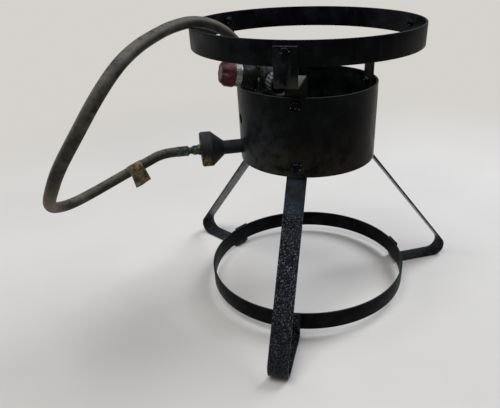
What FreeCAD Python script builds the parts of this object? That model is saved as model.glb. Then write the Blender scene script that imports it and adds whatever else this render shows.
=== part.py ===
import FreeCAD, Part

import math
import os

import Sketcher
from FreeCAD import Placement, Rotation, Vector

# Outdoor stock pot burner stand: a guard ring on three pot brackets, a rolled wind shroud round a
# cast burner, three bent flat-bar legs tied by a floor ring, and the gas hose with its regulator.
# Millimetres, +Z up. The origin is on the rings' common axis at floor level, and +X is to the right
# of the front leg, which faces -Y.

DIMENSIONS = (
    # alias, value, meaning
    ("bar_width", 31.75, "flat bar, width"),
    ("bar_gauge", 3.175, "flat bar, thickness"),
    ("front_azimuth", 261.3, "front leg and bracket, degrees about +Z"),
    ("left_azimuth", 141.0, "left leg and bracket, degrees about +Z"),
    ("right_azimuth", 18.3, "right leg and bracket, degrees about +Z"),
    ("guard_radius", 177.8, "guard ring, outer radius"),
    ("guard_top", 464.2, "guard ring, top edge above the floor"),
    ("floor_ring_radius", 181.0, "floor ring, outer radius"),
    ("floor_ring_lift", 13.35, "floor ring, bottom edge above the floor"),
    ("shroud_radius", 112.7, "wind shroud, outer radius"),
    ("shroud_gauge", 3.175, "wind shroud, wall"),
    ("shroud_bottom", 208.4, "wind shroud, bottom edge below the guard ring's top edge"),
    ("shroud_height", 120.8, "wind shroud, height"),
    ("foot_reach", 315.6, "corner of the leg's outer face and the floor, from the axis"),
    ("foot_bend_radius", 18.0, "foot bend, inner radius"),
    ("bend_radius", 5.0, "other bar bends, inner radius"),
    ("seat_gap", 0.03, "air between a flat bar and the round wall it is bolted to"),
    ("arm_top", 56.2, "pot bracket, top of its arm below the guard ring's top edge"),
    ("bracket_rise", 49.5, "pot bracket, outer end above its arm"),
    ("guard_bolt_level", 7.0, "guard ring bolts below the pot brackets' outer ends"),
    ("bracket_bolt_drop", 10.8, "bracket bolts below the shroud's top edge"),
    ("leg_bolt_rise", 17.2, "leg bolts above the shroud's bottom edge"),
    ("bar_end_margin", 12.7, "bar end past its bolt on the shroud"),
    ("bolt_radius", 3.175, "quarter inch bolt, shank radius"),
    ("bolt_clearance", 0.3, "bolt hole in bar and wall, radial clearance"),
    ("thread_clearance", 0.03, "nut on shank, radial clearance"),
    ("head_flats", 11.1, "bolt head and nut, across flats"),
    ("head_height", 4.2, "bolt head"),
    ("nut_height", 5.6, "nut"),
    ("bolt_proud", 2.6, "shank past its nut"),
    ("washer_radius", 8.4, "washer, outer radius"),
    ("washer_gauge", 1.4, "washer, thickness"),
    ("support_width", 25.4, "burner support, arm width"),
    ("support_level", 0.6, "burner support, underside above the shroud's bottom edge"),
    ("support_hub_radius", 26.0, "burner support, hub radius"),
    ("support_tab_top", 11.0, "burner support, top of its upturned ends above the leg bolts"),
    ("venturi_azimuth", 195.0, "venturi, degrees about +Z"),
    ("venturi_level", 21.7, "venturi axis above the shroud's bottom edge"),
    ("venturi_radius", 11.25, "venturi tube, outer radius"),
    ("venturi_bore", 7.9, "venturi tube, bore radius"),
    ("bell_radius", 28.0, "venturi bell, outer radius"),
    ("bell_wall", 3.4, "venturi bell, wall"),
    ("bell_neck_end", 142.0, "venturi tube meets the bell, from the axis"),
    ("bell_rim_start", 162.0, "bell's straight rim starts, from the axis"),
    ("bell_mouth", 178.0, "bell's mouth, from the axis"),
    ("bell_web_depth", 2.0, "bell's web behind the mouth"),
    ("bell_web_gauge", 4.0, "bell's web, thickness"),
    ("wall_hole_clearance", 1.2, "venturi through the shroud, radial clearance"),
    ("air_hole_radius", 6.2, "air hole in web and shutter"),
    ("air_hole_pitch", 15.2, "air holes, pitch radius"),
    ("air_hole_count", 4, "air holes"),
    ("bowl_radius", 46.0, "burner bowl, outer radius"),
    ("bowl_wall", 4.0, "burner bowl, wall and floor"),
    ("bowl_bottom", 8.1, "burner bowl, underside above the support's"),
    ("bowl_top", 35.5, "burner bowl, rim above its underside"),
    ("boss_radius", 13.0, "burner bowl, boss on the support"),
    ("post_radius", 8.0, "burner bowl, centre post"),
    ("cap_radius", 49.0, "burner cap, outer radius"),
    ("cap_gauge", 6.0, "burner cap, thickness"),
    ("cap_skirt", 4.0, "burner cap, skirt below the bowl's rim"),
    ("cap_chamfer", 2.5, "burner cap, chamfer"),
    ("cap_clearance", 0.6, "burner cap over the bowl, radial clearance"),
    ("port_radius", 1.6, "flame port, radius"),
    ("port_count", 24, "flame ports in a ring"),
    ("inner_port_pitch", 22.0, "inner ring of ports"),
    ("outer_port_pitch", 36.0, "outer ring of ports"),
    ("cap_screw_radius", 3.0, "cap screw, shank radius"),
    ("cap_screw_length", 18.0, "cap screw, depth of its hole in the post"),
    ("cap_screw_clearance", 1.0, "cap screw, end above the bottom of its hole"),
    ("cap_screw_head", 5.6, "cap screw, head radius"),
    ("mount_bolt_radius", 4.0, "burner mounting bolt, shank radius"),
    ("mount_bolt_flats", 13.0, "burner mounting bolt, across flats"),
    ("mount_bolt_head", 5.3, "burner mounting bolt, head height"),
    ("mount_bolt_length", 12.0, "burner mounting bolt, shank"),
    ("shutter_radius", 26.4, "air shutter, radius"),
    ("shutter_gauge", 1.5, "air shutter, thickness"),
    ("shutter_gap", 0.25, "air shutter, end play each side"),
    ("spud_radius", 5.0, "orifice spud, shank radius"),
    ("spud_flats", 16.0, "orifice spud, across flats"),
    ("spud_head", 4.6, "orifice spud, hexagon length"),
    ("spud_length", 12.0, "orifice spud, shank"),
    ("orifice_radius", 0.7, "gas orifice"),
    ("running_clearance", 0.06, "turning piece on its shaft, radial clearance"),
    ("swivel_flats", 14.0, "hose swivel nut, across flats"),
    ("swivel_length", 8.4, "hose swivel nut"),
    ("stem_radius", 6.2, "hose stem, collar radius"),
    ("stem_collar", 6.6, "hose stem, collar length"),
    ("stem_barb_radius", 3.2, "hose stem inside the ferrule"),
    ("hose_radius", 7.75, "gas hose, outer radius"),
    ("ferrule_radius", 8.3, "crimped ferrule, outer radius"),
    ("ferrule_length", 18.0, "crimped ferrule"),
    ("tag_length", 22.0, "paper tag along the hose"),
    ("tag_drop", 31.0, "paper tag below the hose's axis"),
    ("tag_gauge", 0.8, "paper tag, thickness"),
    ("tag_clearance", 0.5, "paper tag round the hose"),
    ("regulator_x", -57.0, "regulator, crossing of its axes"),
    ("regulator_y", -31.0, "regulator, crossing of its axes"),
    ("regulator_level", 9.05, "regulator, crossing of its axes above the shroud's top edge"),
    ("regulator_azimuth", 201.0, "regulator, heading of its knob"),
    ("regulator_tilt", 11.5, "regulator, rise of its knob"),
    ("chamber_radius", 19.0, "regulator body, lower chamber radius"),
    ("chamber_bottom", 13.0, "regulator body below its port axis"),
    ("flange_start", 12.0, "regulator body, flange start"),
    ("flange_radius", 24.5, "regulator flanges, radius"),
    ("flange_gauge", 5.4, "regulator flanges, thickness each"),
    ("diaphragm_gauge", 1.2, "diaphragm, thickness"),
    ("cavity_radius", 15.5, "regulator, cavity under and over the diaphragm"),
    ("bonnet_cone_radius", 17.6, "bonnet, foot of the cone"),
    ("bonnet_cone_end", 34.0, "bonnet, end of the cone"),
    ("bonnet_radius", 17.5, "bonnet, neck radius"),
    ("bonnet_end", 47.0, "bonnet, end of the neck"),
    ("bonnet_wall", 3.0, "bonnet, wall"),
    ("collar_radius", 17.2, "zinc collar, radius"),
    ("collar_length", 11.0, "zinc collar"),
    ("knob_radius", 19.0, "adjusting knob, radius over its lobes"),
    ("knob_length", 21.0, "adjusting knob"),
    ("knob_chamfer", 3.0, "adjusting knob, chamfer of its outer end"),
    ("edge_break", 1.5, "collar, knob and coupling nut, chamfer of the inner end"),
    ("knob_flute_radius", 5.0, "adjusting knob, flute radius"),
    ("knob_flute_count", 7, "adjusting knob, flutes"),
    ("screw_radius", 4.0, "adjusting screw, radius"),
    ("screw_start", 33.0, "adjusting screw, inner end"),
    ("screw_bite", 14.0, "adjusting screw inside the knob"),
    ("thrust_gap", 0.1, "adjusting screw above the spring's button"),
    ("spring_radius", 8.5, "regulator spring, outer radius"),
    ("spring_wire", 1.8, "regulator spring, wire"),
    ("plate_radius", 12.0, "diaphragm plate, radius"),
    ("plate_gauge", 1.5, "diaphragm plate and spring button"),
    ("flange_screw_count", 6, "flange screws"),
    ("flange_screw_pitch", 20.9, "flange screws, pitch radius"),
    ("flange_screw_radius", 1.9, "flange screw, shank radius"),
    ("flange_screw_head", 3.2, "flange screw, head radius"),
    ("port_boss_radius", 8.5, "regulator ports, boss radius"),
    ("port_boss_reach", 24.0, "regulator ports, boss face from the axis"),
    ("elbow_radius", 7.0, "outlet elbow, body radius"),
    ("elbow_offset", 34.0, "outlet elbow, corner from the regulator's axis"),
    ("elbow_lean", 40.0, "outlet elbow, lean from the knob's heading"),
    ("elbow_reach", 18.0, "outlet elbow, corner to its end face"),
    ("inlet_radius", 6.0, "tank inlet nipple, radius"),
    ("inlet_collar_radius", 9.5, "tank inlet nipple, collar that holds the nut"),
    ("inlet_length", 18.0, "tank inlet nipple, past the port boss"),
    ("inlet_bore", 1.8, "tank inlet nipple, bore radius"),
    ("nose_radius", 7.6, "soft nose, radius"),
    ("nose_length", 8.0, "soft nose"),
    ("coupling_radius", 17.5, "tank coupling nut, radius over its ribs"),
    ("coupling_length", 24.0, "tank coupling nut"),
    ("coupling_start", 2.4, "tank coupling nut, gap past the port boss"),
    ("coupling_web", 4.0, "tank coupling nut, end wall"),
    ("coupling_bore", 13.6, "tank coupling nut, thread radius"),
    ("coupling_rib_radius", 1.5, "tank coupling nut, groove radius"),
    ("coupling_rib_count", 18, "tank coupling nut, grooves"),
)

# The hose's route between its two ferrules: it droops left of the burner, swings round towards the
# front, climbs, and comes back over the guard ring's rim. Heights are from the guard ring's top edge.
HOSE_ROUTE = (
    (-257.0, -72.0, -193.7),
    (-291.0, -87.0, -212.2),
    (-331.0, -115.0, -228.2),
    (-353.5, -160.0, -229.2),
    (-356.0, -204.0, -213.2),
    (-337.0, -247.0, -186.2),
    (-310.0, -284.0, -154.2),
    (-283.0, -303.0, -115.2),
    (-253.0, -301.0, -75.2),
    (-229.0, -282.0, -38.2),
    (-212.0, -246.0, -12.2),
    (-202.0, -199.0, -1.2),
    (-193.0, -151.0, 3.5),
    (-181.0, -104.0, 7.5),
    (-157.0, -61.0, 9.3),
    (-127.0, -29.0, -4.8),
)
HOSE_FIRST_RUN = 23.0
HOSE_LAST_RUN = 27.0
HOSE_ARC_SHARE = 0.45

doc = FreeCAD.newDocument("StockPotStand")
parts = []


# ---------------------------------------------------------------- sheet and small helpers

def fill_sheet():
    """Write every driving dimension into the sheet, one row each."""
    table = doc.addObject("Spreadsheet::Sheet", "Sizes")
    for row, (alias, value, meaning) in enumerate(DIMENSIONS, start=1):
        table.set("A%d" % row, meaning)
        table.set("B%d" % row, str(value))
        table.setAlias("B%d" % row, alias)
    doc.recompute()
    return table


sheet = fill_sheet()


def size(alias):
    """Return a driving dimension as a number."""
    return float(sheet.get(alias))


def value(expression):
    """Return what an expression on the sheet comes to."""
    return float(sheet.evalExpression(expression))


def bind(item, **expressions):
    """Tie properties of an object to expressions on the sheet."""
    for name, expression in expressions.items():
        kind = type(getattr(item, name))
        setattr(item, name, int(value(expression)) if kind is int else value(expression))
        item.setExpression(name, expression)


def keep(item, label, placement=None):
    """Name a finished sub-part and put it in its place."""
    item.Label = label
    if placement is not None:
        item.Placement = placement
    parts.append(item)
    return item


def polar(radius, azimuth, level=0.0, sideways=0.0):
    """Point at a radius and azimuth, moved sideways along the tangent."""
    turn = math.radians(azimuth)
    return Vector(
        radius * math.cos(turn) - sideways * math.sin(turn),
        radius * math.sin(turn) + sideways * math.cos(turn),
        level,
    )


def outward(radius, azimuth, level):
    """Placement whose +Z points away from the stand's axis."""
    return Placement(polar(radius, azimuth, level), Rotation(Vector(0, 0, 1), polar(1, azimuth)))


def cylinder(radius, height, placement=None, name="Round"):
    """Cylinder whose radius and height are expressions."""
    item = doc.addObject("Part::Cylinder", name)
    bind(item, Radius=radius, Height=height)
    item.Placement = placement or Placement()
    return item


def cone(foot_radius, tip_radius, height, placement=None, name="Taper"):
    """Cone frustum whose sizes are expressions."""
    item = doc.addObject("Part::Cone", name)
    bind(item, Radius1=foot_radius, Radius2=tip_radius, Height=height)
    item.Placement = placement or Placement()
    return item


def hexagon(flats, height, placement=None, name="Hexagon"):
    """Hexagonal prism from its size across flats."""
    item = doc.addObject("Part::Prism", name)
    item.Polygon = 6
    bind(item, Circumradius="%s / 2 / cos(30)" % flats, Height=height)
    item.Placement = placement or Placement()
    return item


def box(length, width, height, placement, name="Block"):
    """Box whose sizes are expressions, centred on its placement's X and Y."""
    item = doc.addObject("Part::Box", name)
    bind(item, Length=length, Width=width, Height=height)
    shift = Vector(-item.Length.Value / 2, -item.Width.Value / 2, 0)
    item.Placement = placement.multiply(Placement(shift, Rotation()))
    return item


def fuse(items, name="Fused"):
    """One solid from several that meet."""
    if len(items) == 1:
        return items[0]
    item = doc.addObject("Part::MultiFuse", name)
    item.Shapes = items
    return item


def cut(base, tools, name="Cut"):
    """Base less every tool."""
    item = doc.addObject("Part::Cut", name)
    item.Base = base
    item.Tool = fuse(tools, name + "Tools")
    return item


def group(items, label):
    """Identical separate solids under one name."""
    item = doc.addObject("Part::Compound", label)
    item.Links = items
    return keep(item, label)


def new_sketch(body, role, name):
    """Sketch on one of the body's own origin planes."""
    plane = next(f for f in body.Origin.OriginFeatures if f.Role == role)
    sketch = body.newObject("Sketcher::SketchObject", name)
    sketch.AttachmentSupport = [(plane, "")]
    sketch.MapMode = "FlatFace"
    return sketch


def hold_point(sketch, edge, across, along):
    """Tie the start of an edge to two expressions, or to an axis where one is zero."""
    for kind, axis, expression in (("DistanceX", -2, across), ("DistanceY", -1, along)):
        if expression == "0":
            sketch.addConstraint(Sketcher.Constraint("PointOnObject", edge, 1, axis))
            continue
        number = value(expression)
        index = sketch.addConstraint(Sketcher.Constraint(kind, -1, 1, edge, 1, number))
        sketch.setExpression("Constraints[%d]" % index, expression)


def draw_profile(sketch, corners):
    """Closed outline through corners, each a pair of expressions on the sheet."""
    points = [Vector(value(across), value(along), 0) for across, along in corners]
    count = len(points)
    for index in range(count):
        start, end = points[index], points[(index + 1) % count]
        sketch.addGeometry(Part.LineSegment(start, end), False)
    for index in range(count):
        sketch.addConstraint(Sketcher.Constraint("Coincident", index, 2, (index + 1) % count, 1))
    for index, (across, along) in enumerate(corners):
        hold_point(sketch, index, across, along)


def draw_circle(sketch, radius, across="0", along="0"):
    """Circle whose radius and centre are expressions."""
    centre = Vector(value(across), value(along), 0)
    edge = sketch.addGeometry(Part.Circle(centre, Vector(0, 0, 1), value(radius)), False)
    index = sketch.addConstraint(Sketcher.Constraint("Radius", edge, value(radius)))
    sketch.setExpression("Constraints[%d]" % index, radius)
    for kind, axis, expression in (("DistanceX", -2, across), ("DistanceY", -1, along)):
        if expression == "0":
            sketch.addConstraint(Sketcher.Constraint("PointOnObject", edge, 3, axis))
            continue
        index = sketch.addConstraint(
            Sketcher.Constraint(kind, -1, 1, edge, 3, value(expression)))
        sketch.setExpression("Constraints[%d]" % index, expression)


def revolved(label, corners):
    """Body turned about its own Z axis from an outline of radius and height."""
    body = doc.addObject("PartDesign::Body", label)
    sketch = new_sketch(body, "XZ_Plane", label + "_outline")
    draw_profile(sketch, corners)
    turned = body.newObject("PartDesign::Revolution", label + "_turned")
    turned.Profile = sketch
    turned.ReferenceAxis = (sketch, ["V_Axis"])
    turned.Angle = 360.0
    return body


def add_hole_ring(body, label, radius, pitch, count):
    """Ring of equal holes right through a turned body, along its Z axis."""
    sketch = new_sketch(body, "XY_Plane", label + "_hole")
    draw_circle(sketch, radius, across=pitch)
    pocket = body.newObject("PartDesign::Pocket", label + "_pocket")
    pocket.Profile = sketch
    pocket.Type = "ThroughAll"
    pocket.Midplane = True
    ring = body.newObject("PartDesign::PolarPattern", label + "_ring")
    ring.Originals = [pocket]
    ring.Axis = (sketch, ["N_Axis"])
    ring.Angle = 360.0
    bind(ring, Occurrences=count)
    body.Tip = ring
    doc.recompute()


# ---------------------------------------------------------------- values shared by several pieces

AZIMUTHS = {side: size(side + "_azimuth") for side in ("front", "left", "right")}
BAR_WIDTH = size("bar_width")
BAR_GAUGE = size("bar_gauge")
SHROUD_INNER = size("shroud_radius") - size("shroud_gauge")
# Every level above the legs is measured from the guard ring's top edge.
SHROUD_BOTTOM = size("guard_top") - size("shroud_bottom")
SHROUD_TOP = SHROUD_BOTTOM + size("shroud_height")
ARM_TOP = size("guard_top") - size("arm_top")
BRACKET_END = ARM_TOP + size("bracket_rise")
GUARD_BOLT_LEVEL = BRACKET_END - size("guard_bolt_level")
# A flat bar touches the round wall with its two edges, so its face stands a little inside the wall.
BAR_SEAT = math.sqrt(SHROUD_INNER ** 2 - (BAR_WIDTH / 2) ** 2) - size("seat_gap")
BAR_INNER = BAR_SEAT - BAR_GAUGE
BRACKET_BOLT_LEVEL = SHROUD_TOP - size("bracket_bolt_drop")
LEG_BOLT_LEVEL = SHROUD_BOTTOM + size("leg_bolt_rise")
SUPPORT_LEVEL = SHROUD_BOTTOM + size("support_level")
BOWL_BOTTOM = SUPPORT_LEVEL + size("bowl_bottom")
BOWL_TOP = BOWL_BOTTOM + size("bowl_top")
HOLE_RADIUS = "Sizes.bolt_radius + Sizes.bolt_clearance"
VENTURI_AZIMUTH = size("venturi_azimuth")
VENTURI_LEVEL = SHROUD_BOTTOM + size("venturi_level")
REGULATOR_ORIGIN = Vector(size("regulator_x"), size("regulator_y"),
                          SHROUD_TOP + size("regulator_level"))
# The regulator's own frame: +Z towards its knob, +Y towards the tank inlet, -X upwards.
REGULATOR_TURN = Rotation(Vector(0, 0, 1), size("regulator_azimuth")).multiply(
    Rotation(Vector(0, 1, 0), 90 - size("regulator_tilt")))
REGULATOR = Placement(REGULATOR_ORIGIN, REGULATOR_TURN)


def along_venturi(radius):
    """Placement on the venturi's axis, +Z away from the stand's axis."""
    return outward(radius, VENTURI_AZIMUTH, VENTURI_LEVEL)


def on_regulator(x=0.0, y=0.0, z=0.0, turn=None):
    """Placement in the regulator's own frame."""
    return REGULATOR.multiply(Placement(Vector(x, y, z), turn or Rotation()))


TO_INLET = Rotation(Vector(0, 0, 1), Vector(0, 1, 0))
TO_OUTLET = Rotation(Vector(0, 0, 1), Vector(0, -1, 0))


# ---------------------------------------------------------------- rings, shroud and flat bars

def ring_band(label, radius, height, gauge, bottom, radial_holes):
    """Rolled band with radial bolt holes, given as (hole radius, azimuth, level)."""
    outer = cylinder(radius, height, Placement(Vector(0, 0, bottom), Rotation()))
    inner = cylinder("%s - %s" % (radius, gauge), height, outer.Placement)
    start = value(radius) - BAR_WIDTH / 2
    holes = [cylinder(hole, "Sizes.bar_width", outward(start, azimuth, level))
             for hole, azimuth, level in radial_holes]
    return keep(cut(outer, [inner] + holes, label), label)


def build_rings():
    """Guard ring at the top, floor ring between the feet, and the wind shroud."""
    guard_bolts = [(HOLE_RADIUS, azimuth, GUARD_BOLT_LEVEL) for azimuth in AZIMUTHS.values()]
    ring_band("guard_ring", "Sizes.guard_radius", "Sizes.bar_width", "Sizes.bar_gauge",
              size("guard_top") - BAR_WIDTH, guard_bolts)
    ring_band("floor_ring", "Sizes.floor_ring_radius", "Sizes.bar_width", "Sizes.bar_gauge",
              size("floor_ring_lift"), [])
    shroud_holes = [(HOLE_RADIUS, azimuth, level) for azimuth in AZIMUTHS.values()
                    for level in (BRACKET_BOLT_LEVEL, LEG_BOLT_LEVEL)]
    venturi_hole = "Sizes.venturi_radius + Sizes.wall_hole_clearance"
    shroud_holes.append((venturi_hole, VENTURI_AZIMUTH, VENTURI_LEVEL))
    ring_band("wind_shroud", "Sizes.shroud_radius", "Sizes.shroud_height", "Sizes.shroud_gauge",
              SHROUD_BOTTOM, shroud_holes)


def bend(before, corner, after, radius):
    """Tangent points and middle of the arc that rounds a corner of a flat outline."""
    back = (before - corner).normalize()
    ahead = (after - corner).normalize()
    half = back.getAngle(ahead) / 2
    reach = radius / math.tan(half)
    middle = (back + ahead).normalize()
    top = corner + middle * (radius / math.sin(half) - radius)
    return corner + back * reach, top, corner + ahead * reach


def turns_right(before, corner, after):
    """True where a path bends to its right."""
    return (corner - before).cross(after - corner).z < 0


def offset_corners(face, distance, side):
    """Corners of the bar's other face: side is +1 to the right of the path, -1 to its left."""
    points = []
    for index, corner in enumerate(face):
        before = face[max(index - 1, 0)]
        after = face[min(index + 1, len(face) - 1)]
        along_in = (corner - before) if index else (after - corner)
        along_out = (after - corner) if index < len(face) - 1 else along_in
        normals = [Vector(v.y, -v.x, 0).normalize() * side for v in (along_in, along_out)]
        middle = (normals[0] + normals[1]).normalize()
        points.append(corner + middle * (distance / math.cos(normals[0].getAngle(middle))))
    return points


def side_edges(points, rounds):
    """Lines and arcs through the points, rounded at the inner ones."""
    edges = []
    start = points[0]
    for index in range(1, len(points) - 1):
        before, corner, after = points[index - 1:index + 2]
        first, top, last = bend(before, corner, after, rounds[index - 1])
        edges.append(Part.LineSegment(start, first))
        edges.append(Part.Arc(first, top, last))
        start = last
    edges.append(Part.LineSegment(start, points[-1]))
    return edges


def bent_bar(label, face, inner_radii, material_side, azimuth, bolt_levels):
    """Flat bar bent along a path, standing in the plane of its azimuth.

    face is the path of one face as (radius, level) points; material_side is +1 where the metal lies
    to the right of the path and -1 to its left.
    """
    path = [Vector(radius, level, 0) for radius, level in face]
    near_rounds = []
    far_rounds = []
    for index, radius in enumerate(inner_radii, start=1):
        right = turns_right(path[index - 1], path[index], path[index + 1])
        metal_inside = right == (material_side > 0)
        near_rounds.append(radius + BAR_GAUGE if metal_inside else radius)
        far_rounds.append(radius if metal_inside else radius + BAR_GAUGE)
    far_points = offset_corners(path, BAR_GAUGE, material_side)
    near = side_edges(path, near_rounds)
    far = side_edges(far_points, far_rounds)
    body = doc.addObject("PartDesign::Body", label)
    sketch = new_sketch(body, "XZ_Plane", label + "_side")
    ends = [Part.LineSegment(path[0], far_points[0]), Part.LineSegment(path[-1], far_points[-1])]
    sketch.addGeometry(near + far + ends, False)
    pad = body.newObject("PartDesign::Pad", label + "_bar")
    pad.Profile = sketch
    pad.Midplane = True
    bind(pad, Length="Sizes.bar_width")
    for level in bolt_levels:
        drill = new_sketch(body, "YZ_Plane", label + "_drill")
        circle = Part.Circle(Vector(0, level, 0), Vector(0, 0, 1), value(HOLE_RADIUS))
        hole = drill.addGeometry(circle, False)
        index = drill.addConstraint(Sketcher.Constraint("Radius", hole, value(HOLE_RADIUS)))
        drill.setExpression("Constraints[%d]" % index, HOLE_RADIUS)
        pocket = body.newObject("PartDesign::Pocket", label + "_hole")
        pocket.Profile = drill
        pocket.Type = "ThroughAll"
        pocket.Midplane = True
    return keep(body, label, Placement(Vector(), Rotation(Vector(0, 0, 1), azimuth)))


def build_legs():
    """Legs: bolted inside the shroud, sloping to the floor, folded back and up outside the ring."""
    ring = size("floor_ring_radius")
    face = (
        (BAR_SEAT, LEG_BOLT_LEVEL + size("bar_end_margin")),
        (BAR_SEAT, SHROUD_BOTTOM - size("bend_radius") / 2),
        (size("foot_reach"), 0.0),
        (ring, 0.0),
        (ring, size("floor_ring_lift") + BAR_WIDTH),
    )
    radii = (size("bend_radius"), size("foot_bend_radius"), size("bend_radius"))
    for side, azimuth in AZIMUTHS.items():
        bent_bar("leg_" + side, face, radii, 1, azimuth, [LEG_BOLT_LEVEL])


def build_brackets():
    """Pot brackets: bolted outside the guard ring, flat arm for the pot, bolted inside the shroud."""
    guard = size("guard_radius") + size("seat_gap")
    face = (
        (guard, BRACKET_END),
        (guard, ARM_TOP),
        (BAR_INNER, ARM_TOP),
        (BAR_INNER, BRACKET_BOLT_LEVEL - size("bar_end_margin")),
    )
    radii = (size("bend_radius"), size("bend_radius"))
    levels = [GUARD_BOLT_LEVEL, BRACKET_BOLT_LEVEL]
    for side, azimuth in AZIMUTHS.items():
        bent_bar("pot_bracket_" + side, face, radii, -1, azimuth, levels)


# ---------------------------------------------------------------- fasteners of the frame

def bolt(head_face, azimuth, level, length):
    """Hexagon bolt from outside, its shank running inwards from the head."""
    head = hexagon("Sizes.head_flats", "Sizes.head_height", outward(head_face, azimuth, level))
    tip = outward(head_face - length, azimuth, level)
    shank = cylinder("Sizes.bolt_radius", "%.6f" % length, tip)
    return fuse([head, shank], "Bolt")


def nut(outer_face, azimuth, level):
    """Hexagon nut inside, its outer face against the bar or ring."""
    place = outward(outer_face - size("nut_height"), azimuth, level)
    block = hexagon("Sizes.head_flats", "Sizes.nut_height", place)
    bore = cylinder("Sizes.bolt_radius + Sizes.thread_clearance", "Sizes.nut_height", place)
    return cut(block, [bore], "Nut")


def washer(inner_face, azimuth, level):
    """Flat washer outside the shroud."""
    place = outward(inner_face, azimuth, level)
    disc = cylinder("Sizes.washer_radius", "Sizes.washer_gauge", place)
    hole = cylinder("Sizes.bolt_radius + Sizes.thread_clearance", "Sizes.washer_gauge", place)
    return cut(disc, [hole], "Washer")


def fastener_sets(prefix, level, head_face, nut_face, washer_face=None):
    """Bolts, nuts and, where given, washers at the three azimuths."""
    length = head_face - nut_face + size("nut_height") + size("bolt_proud")
    azimuths = AZIMUTHS.values()
    group([bolt(head_face, azimuth, level, length) for azimuth in azimuths], prefix + "_bolts")
    group([nut(nut_face, azimuth, level) for azimuth in azimuths], prefix + "_nuts")
    if washer_face is not None:
        group([washer(washer_face, azimuth, level) for azimuth in azimuths], prefix + "_washers")


def build_fasteners():
    """Three sets: guard ring to brackets, brackets to shroud, legs to shroud."""
    gap = size("seat_gap")
    guard = size("guard_radius")
    corner = size("head_flats") / math.sqrt(3)
    guard_inner = guard - BAR_GAUGE
    nut_seat = math.sqrt(guard_inner ** 2 - corner ** 2) - gap
    fastener_sets("guard", GUARD_BOLT_LEVEL, guard + gap + BAR_GAUGE, nut_seat)
    wall = size("shroud_radius") + gap
    head = wall + size("washer_gauge")
    fastener_sets("bracket", BRACKET_BOLT_LEVEL, head, BAR_INNER, wall)
    fastener_sets("leg", LEG_BOLT_LEVEL, head, BAR_INNER - BAR_GAUGE, wall)


# ---------------------------------------------------------------- burner

def build_support():
    """Three-armed plate under the burner, its ends turned up behind the legs' bolts."""
    level = SUPPORT_LEVEL
    end = BAR_INNER
    tab_height = LEG_BOLT_LEVEL + size("support_tab_top") - level
    centre = Placement(Vector(0, 0, level), Rotation())
    pieces = [cylinder("Sizes.support_hub_radius", "Sizes.bar_gauge", centre)]
    bolt_hole = "Sizes.mount_bolt_radius + Sizes.bolt_clearance"
    holes = [cylinder(bolt_hole, "Sizes.bar_gauge", centre)]
    for azimuth in AZIMUTHS.values():
        turn = Rotation(Vector(0, 0, 1), azimuth)
        arm = Placement(polar(end / 2, azimuth, level), turn)
        pieces.append(box("%.6f" % end, "Sizes.support_width", "Sizes.bar_gauge", arm))
        tab = Placement(polar(end - BAR_GAUGE / 2, azimuth, level), turn)
        pieces.append(box("Sizes.bar_gauge", "Sizes.support_width", "%.6f" % tab_height, tab))
        hole = outward(end - 2 * BAR_GAUGE, azimuth, LEG_BOLT_LEVEL)
        holes.append(cylinder(HOLE_RADIUS, "3 * Sizes.bar_gauge", hole))
    keep(cut(fuse(pieces), holes, "burner_support"), "burner_support")


def build_casting():
    """Cast bowl with its mounting boss and post, venturi tube and bell in one piece."""
    at = lambda level: Placement(Vector(0, 0, level), Rotation())
    plate_top = SUPPORT_LEVEL + BAR_GAUGE
    bottom = BOWL_BOTTOM
    floor = bottom + size("bowl_wall")
    boss_height = "Sizes.bowl_bottom - Sizes.bar_gauge"
    inner = "Sizes.bowl_radius - Sizes.bowl_wall"
    start = size("bowl_radius") - size("bowl_wall") / 2
    neck = size("bell_neck_end")
    rim = size("bell_rim_start")
    solids = [
        cylinder("Sizes.bowl_radius", "Sizes.bowl_top", at(bottom)),
        cylinder("Sizes.boss_radius", boss_height, at(plate_top)),
        cylinder("Sizes.venturi_radius", "%.6f" % (neck - start), along_venturi(start)),
        cone("Sizes.venturi_radius", "Sizes.bell_radius", "Sizes.bell_rim_start - Sizes.bell_neck_end",
             along_venturi(neck)),
        cylinder("Sizes.bell_radius", "Sizes.bell_mouth - Sizes.bell_rim_start", along_venturi(rim)),
    ]
    web_back = size("bell_mouth") - size("bell_web_depth") - size("bell_web_gauge")
    bell_inner = "Sizes.bell_radius - Sizes.bell_wall"
    hollows = [
        cylinder(inner, "Sizes.bowl_top", at(floor)),
        cylinder("Sizes.venturi_bore", "%.6f" % (neck - start + size("bowl_wall")),
                 along_venturi(start - size("bowl_wall"))),
        cone("Sizes.venturi_bore", bell_inner, "Sizes.bell_rim_start - Sizes.bell_neck_end",
             along_venturi(neck)),
        cylinder(bell_inner, "%.6f" % (web_back - rim), along_venturi(rim)),
        cylinder(bell_inner, "Sizes.bell_web_depth",
                 along_venturi(size("bell_mouth") - size("bell_web_depth"))),
        cylinder("Sizes.spud_radius + Sizes.thread_clearance", "Sizes.bell_web_gauge",
                 along_venturi(web_back)),
        cylinder("Sizes.mount_bolt_radius + Sizes.thread_clearance", "Sizes.mount_bolt_length",
                 at(plate_top)),
    ]
    for index in range(int(size("air_hole_count"))):
        turn = Rotation(Vector(0, 0, 1), 360.0 * index / size("air_hole_count"))
        offset = turn.multVec(Vector(size("air_hole_pitch"), 0, 0))
        hole = along_venturi(web_back).multiply(Placement(offset, Rotation()))
        hollows.append(cylinder("Sizes.air_hole_radius", "Sizes.bell_web_gauge", hole))
    shell = cut(fuse(solids), hollows, "Casting")
    post = cut(
        cylinder("Sizes.post_radius", "Sizes.bowl_top - Sizes.bowl_wall", at(floor)),
        [cylinder("Sizes.cap_screw_radius + Sizes.thread_clearance", "Sizes.cap_screw_length",
                  at(BOWL_TOP - size("cap_screw_length")))], "Post")
    keep(fuse([shell, post], "burner_casting"), "burner_casting")


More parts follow.
